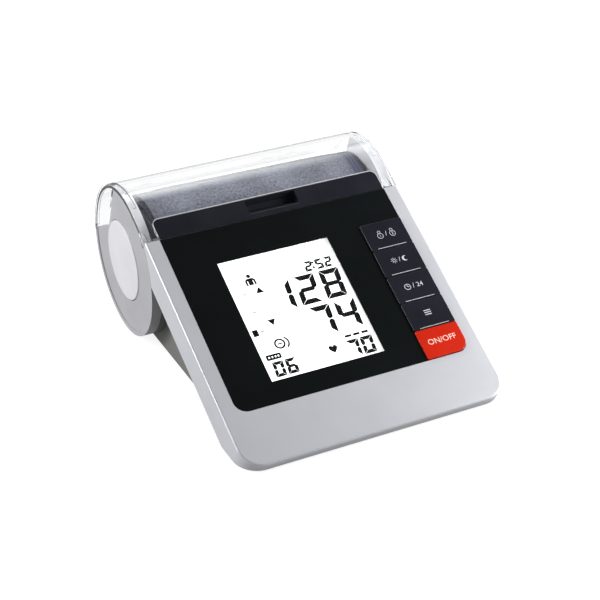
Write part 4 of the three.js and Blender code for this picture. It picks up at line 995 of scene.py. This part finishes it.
def in_groove(at, way):
    """Tells whether a face of the lid's outside lies between two groove lines."""
    outwards = (at - around(0, 0)) * Vector((0, 1, 1))
    inset = case_half - abs(at.x)
    is_outside = way.dot(outwards.normalized()) > 0.99 and at.z > tube_z + GROOVE_ABOVE
    is_round = at.y > tube_y - tube_on_slope.y * face_normal.z
    return is_outside and is_round and GROOVE_START < inset < GROOVE_END


work(lid, "FACE", in_groove, lambda: bpy.ops.mesh.extrude_region_shrink_fatten(
    TRANSFORM_OT_shrink_fatten={"value": -GROOVE_DEPTH},
))
ease(lid, segments=3)
lid_plastic = clear_plastic("lid_plastic", (0.985, 0.992, 0.996, 1), 0.03)
dress(lid, lid_plastic, "clear_lid", "lid", "clear_lid")


# Latch strip: blue black moulded plastic along the lid's front edge, with a hollow for a fingertip.
# A thin pale band round it in the lid's opening is a painted highlight, the glint along that edge.
POCKET_HALF = 16 * MM
POCKET_MIDDLE = 1.5 * MM
POCKET_DEPTH = 6 * MM
POCKET_WALL = 1.2 * MM
POCKET_FLOOR = 3.4 * MM
POCKET_MARGIN = 2.1 * MM
POCKET_CORNER = 1.2 * MM
STRIP_EDGE = 0.6 * MM
GLINT_INNER = 0.02 * MM
GLINT_WIDTH = 0.28 * MM
GLINT_RISE = 0.12 * MM
strip = strip_outline("black_strip", 0, strip_low.y, -TUBE_WALL, strip_high.z)


def pocket_body(name, grow, top, front):
    """The finger hollow, or the tub round it: a block whose front wall slopes."""
    depth = POCKET_DEPTH + grow
    rear = strip_high.y - POCKET_WALL + grow
    half = POCKET_HALF + grow
    piece = block(name, (POCKET_MIDDLE - half, front, -depth), (POCKET_MIDDLE + half, rear, top))
    floor_front = rear - POCKET_FLOOR - grow
    for vertex in piece.data.vertices:
        if vertex.co.z < -depth + MM and vertex.co.y < front + MM:
            vertex.co.y = floor_front
    return piece


tub = pocket_body("tub", POCKET_WALL, -MM, strip_low.y + LIP_WIDTH + 2 * CLEARANCE)
hollow = pocket_body("hollow", 0, MM, strip_low.y + POCKET_MARGIN)
round_edges(hollow, lambda at, way: abs(way.x) < 0.5 and abs(way.z) > 0.5, POCKET_CORNER, 5)
round_edges(strip, lambda at, way: at.z > -TOUCH and at.y > strip_low.y + MM, STRIP_EDGE, 4)
cut_away(weld_on(strip, tub), hollow)
ease(settle(strip, slope), CRISP_EDGE)
strip_black = plastic("strip_black", (30, 32, 39), (35, 37, 44), 0.22, grain=0.2, relief=0.004)
dress(strip, strip_black, "black_strip", "lid", "latch_strip")
# Painted highlight: an opaque pale band round the strip stands for the glint along the opening's edge.
glint_band = strip_outline("strip_glint_band", GLINT_WIDTH, LIP_WIDTH, -TUBE_WALL, GLINT_RISE)
cut_away(glint_band, strip_outline("strip_space", GLINT_INNER, -CUT_REACH, -CUT_REACH, CUT_REACH))
pale_glint_paint = plastic("pale_glint_paint", (222, 224, 228), (240, 241, 244), 0.25, grain=0.3)
dress(settle(glint_band, slope), pale_glint_paint, "clear_lid", "lid")


# Rolled cuff: a long pad of grey woven nylon with a bladder in it, hemmed along both sides and
# wound up on itself, a little tighter to the right. A dark band runs across it near where the roll's
# top outline falls as the camera sees it, and the layers there are pushed a little towards the right
# end. The roll lies in the trough.
ROLL_RADIUS = 39.9 * MM
ROLL_DROP = 2.8 * MM
ROLL_TAPER = 0.9 * MM
CUFF_THICKNESS = 6 * MM
CUFF_END_THICKNESS = 2 * MM
THIN_TURNS = 1.5
THINNING_TURNS = 0.6
LAYER_GAP = 0.5 * MM
CUFF_TURNS = 4.6
CUFF_END_ANGLE = -math.pi / 3
STEPS_A_TURN = 48
HEM_WIDTH = 7 * MM
HEM_SHARE = 0.42
HEM_ROUND = 0.9 * MM
SEAM_SHARE = 0.08
SEAM_REACH = 0.8 * MM
PILLOW_WIDTH = 16 * MM
STITCH_PITCH = 2.2 * MM
THREAD = 0.55 * MM
THREAD_RELIEF = 0.12 * MM
SPECKLE = 1.6 * MM
DRIFT = 25 * MM
BAND_ANGLE = math.radians(72.5)
BAND_WIDTH = 11 * MM
BAND_PINCH = 0.14
PINCH_REACH = 1.3 * MM
SKEW = 3.2 * MM
SKEW_REACH = 0.09
roll_low, roll_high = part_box("cuff_roll")


def smooth_step(value):
    value = min(max(value, 0), 1)
    return value * value * (3 - 2 * value)


def cuff_thickness(turn):
    thin = smooth_step((turn - CUFF_TURNS + THIN_TURNS) / THINNING_TURNS)
    return CUFF_THICKNESS + (CUFF_END_THICKNESS - CUFF_THICKNESS) * thin


def cuff_lay(turn):
    if turn < 1:
        return (CUFF_THICKNESS + LAYER_GAP) * turn
    return cuff_lay(turn - 1) + cuff_thickness(turn - 1) + LAYER_GAP


def cuff_fill(edge):
    """How thick the cuff is at a distance from its side edge, as a share of its full thickness."""
    if edge < HEM_WIDTH:
        return HEM_SHARE * math.sqrt(max(0.0, 1 - (1 - min(edge / HEM_ROUND, 1)) ** 2))
    rise = smooth_step((edge - HEM_WIDTH) / PILLOW_WIDTH)
    seam = SEAM_SHARE * math.exp(-((edge - HEM_WIDTH) / SEAM_REACH) ** 2)
    return HEM_SHARE - seam + (1 - HEM_SHARE) * math.sqrt(rise)


def band_pinch(turn):
    """How the cuff is pressed in along the dark band's two edges."""
    across = min(abs(turn - edge) for edge in band_edges) * TURN_LENGTH
    return 1 - BAND_PINCH * math.exp(-((across / PINCH_REACH) ** 2))


TURN_LENGTH = math.tau * ROLL_RADIUS
band_turn = CUFF_TURNS + (BAND_ANGLE - math.tau - CUFF_END_ANGLE) / math.tau
band_edges = [band_turn + side * BAND_WIDTH / 2 / TURN_LENGTH for side in (-1, 1)]
width = roll_high.x - roll_low.x
columns = mm(0, 0.15, 0.4, 0.9, 2, 4, 6, 7, 7.8, 9, 11, 14, 18, 23, 30, 40, 52)
columns += [width / 2] + [width - across for across in reversed(columns)]
steps = round(CUFF_TURNS * STEPS_A_TURN)
turns = [CUFF_TURNS * step / steps for step in range(steps + 1)]
turns += [edge + side * PINCH_REACH / TURN_LENGTH for edge in band_edges for side in (-1, 0, 1)]
turns.sort()
rows = len(turns) - 1
core = ROLL_RADIUS - cuff_lay(CUFF_TURNS) - cuff_thickness(CUFF_TURNS)
points, lengths = [], []
length = 0
for row, turn in enumerate(turns):
    angle = math.tau * (turn - CUFF_TURNS) + CUFF_END_ANGLE
    thick = cuff_thickness(turn)
    base = core + cuff_lay(turn)
    length += base * math.tau * (turn - turns[max(row - 1, 0)])
    if turn <= band_turn:
        band_at = length + base * math.tau * (band_turn - turn)
    end_fill = math.sqrt(min(1, min(row, rows - row) / 3 + 0.15))
    skew = SKEW * math.exp(-(((turn - band_turn) / SKEW_REACH) ** 2))
    for inside in (False, True):
        for across in reversed(columns) if inside else columns:
            half = thick / 2 * cuff_fill(min(across, width - across)) * end_fill * band_pinch(turn)
            taper = ROLL_TAPER * across / width
            radius = (base + thick / 2 + (-half if inside else half)) * (1 - taper / ROLL_RADIUS)
            x = roll_low.x + across + skew * across / width
            z = tube_z - (ROLL_DROP + taper) + radius * math.sin(angle)
            points.append((x, tube_y + radius * math.cos(angle), z))
            lengths.append((across, length))
loop = 2 * len(columns)
faces = []
for start in range(0, rows * loop, loop):
    for column in range(loop):
        beside = (column + 1) % loop
        faces.append((start + column, start + loop + column, start + loop + beside, start + beside))
faces += [tuple(range(loop)), tuple(rows * loop + column for column in reversed(range(loop)))]
mesh = bpy.data.meshes.new("rolled_cuff")
mesh.from_pydata(points, [], faces)
cloth_map = mesh.uv_layers.new(name="cloth")
for corner in mesh.loops:
    cloth_map.data[corner.index].uv = lengths[corner.vertex_index]
roll = bpy.data.objects.new("rolled_cuff", mesh)
bpy.context.collection.objects.link(roll)
merge_points(roll, bpy.ops.mesh.normals_make_consistent)
apply(roll, "SUBSURF", levels=1, render_levels=1)
shade(roll, 60)


def noise_node(tree, vector, size, detail=2):
    noise = tree.nodes.new("ShaderNodeTexNoise")
    adjust(noise, Scale=1 / size, Detail=detail)
    tree.links.new(vector, noise.inputs["Vector"])
    return noise.outputs["Fac"]


def mix_colors(tree, share, first, second):
    """The first colour, or the second where the share is 1. Each is a socket or a tone."""
    mix = tree.nodes.new("ShaderNodeMix")
    mix.data_type = "RGBA"
    tree.links.new(share, mix.inputs["Factor"])
    for socket, color in (("A", first), ("B", second)):
        if isinstance(color, tuple):
            mix.inputs[socket].default_value = tone(*color)
        else:
            tree.links.new(color, mix.inputs[socket])
    return mix.outputs["Result"]


def woven(name, dark, light, binding, band_tone):
    """Woven nylon with a bound edge: threads over and under, speckled, and a slow drift of colour."""
    material, tree, shader = new_material(name)
    adjust(shader, Roughness=0.85, Specular_IOR_Level=0.15, Sheen_Weight=0.05, Sheen_Roughness=0.5)
    cloth = tree.nodes.new("ShaderNodeUVMap")
    cloth.uv_map = "cloth"
    split = tree.nodes.new("ShaderNodeSeparateXYZ")
    tree.links.new(cloth.outputs["UV"], split.inputs[0])
    across, along = split.outputs[0], split.outputs[1]
    waves = [
        math_node(tree, "SINE", math_node(tree, "MULTIPLY", axis, math.pi / THREAD))
        for axis in (across, along)
    ]
    weave = math_node(tree, "ABSOLUTE", math_node(tree, "MULTIPLY", *waves))
    speckle = noise_node(tree, cloth.outputs["UV"], SPECKLE, 3)
    drift = math_node(tree, "MULTIPLY", noise_node(tree, cloth.outputs["UV"], DRIFT), 0.5)
    tones = math_node(tree, "ADD", math_node(tree, "MULTIPLY", speckle, 0.9), -0.2)
    color = two_tones(tree, math_node(tree, "ADD", tones, drift), dark, light, 0.25)
    stitches = math_node(tree, "MULTIPLY", across, math.tau / STITCH_PITCH)
    stitches = math_node(tree, "GREATER_THAN", math_node(tree, "SINE", stitches), 0.6)
    bound = math_node(tree, "GREATER_THAN", across, width - HEM_WIDTH)
    color = mix_colors(tree, bound, color, mix_colors(tree, stitches, binding, dark))
    from_band = math_node(tree, "ABSOLUTE", math_node(tree, "SUBTRACT", along, band_at))
    on_band = math_node(tree, "LESS_THAN", from_band, BAND_WIDTH / 2)
    color = mix_colors(tree, on_band, color, band_tone)
    tree.links.new(color, shader.inputs["Base Color"])
    add_relief(tree, shader, weave, THREAD_RELIEF)
    return material


cuff_nylon = woven("cuff_nylon", (60, 62, 70), (124, 127, 139), (84, 87, 108), (30, 32, 38))
dress(roll, cuff_nylon, "cuff_fabric", "housing", "cuff_roll")


# Lower case: dark grey moulded plastic, screwed up into the top case. It holds the batteries and
# the pump, stands in from the case's sides, and rests on four rubber feet.
base = frame["nodes"]["base_case"].copy()
base.data = base.data.copy()
base.parent = None
bpy.context.collection.objects.link(base)
base.name = "dark_base"
for key in list(base.keys()):
    del base[key]
merge_points(base, lambda: bpy.ops.mesh.dissolve_limited(angle_limit=math.radians(0.5)))
ease(base, angle=40)
dress(base, dark_grey_and_shade, "dark_case", "housing", "base_case")
paint("battery_door", dark_grey_and_shade)
foot_rubber = plastic("foot_rubber", (34, 34, 36), (42, 42, 44), 0.8, grain=0.3, relief=0.02)
for number in range(1, 5):
    paint(f"foot_{number}", foot_rubber)


# Inside and fixings: the board with its parts, the batteries and their contacts, the pump, valve and
# hoses that fill the cuff, and the steel pins and screws. Most show only when a cover is off.
INSIDE = [
    # finish, darker and lighter tone, roughness, grain, relief, patch, share of metal, nodes
    ("bright_steel", (176, 180, 186), (190, 193, 198), 0.25, 0.1, 0.004, 18, 1.0,
     ["hinge_pin_left", "hinge_pin_right", "motor_shaft", *SCREW_NODES]),
    ("plated_can", (178, 180, 184), (190, 191, 195), 0.3, 0.2, 0.004, 18, 0.9,
     ["pump_motor", "exhaust_valve"]),
    ("spring_brass", (190, 160, 96), (204, 172, 104), 0.3, 0.1, 0.003, 18, 1.0,
     ["battery_bridge", "battery_contact_plus", "battery_contact_minus", "valve_plunger"]),
    ("soft_silicone", (196, 196, 190), (210, 210, 204), 0.55, 0.25, 0.01, 18, 0,
     ["pump_hose", "sensor_hose", "valve_hose", "socket_hose"]),
    ("white_acetal", (208, 208, 202), (220, 220, 214), 0.45, 0.25, 0.01, 18, 0,
     ["pump_head", "air_manifold", "air_socket"]),
    ("board_green", (22, 82, 50), (28, 96, 60), 0.35, 0.8, 0.01, 4, 0, ["main_board"]),
    ("black_epoxy", (26, 26, 28), (32, 32, 34), 0.5, 0.15, 0.01, 18, 0,
     ["processor_chip", "beeper", "pressure_sensor", "power_jack"]),
    ("battery_sleeve", (48, 96, 140), (56, 108, 154), 0.3, 0.25, 0.01, 8, 0.5,
     [f"battery_{number}" for number in range(1, 5)]),
    ("mat_rubber", (168, 168, 164), (180, 180, 176), 0.6, 0.25, 0.01, 18, 0, ["key_mat"]),
]
for *finish, metal, names in INSIDE:
    material = plastic(*finish, Metallic=metal)
    for name in names:
        paint(name, material)

bpy.context.view_layer.update()
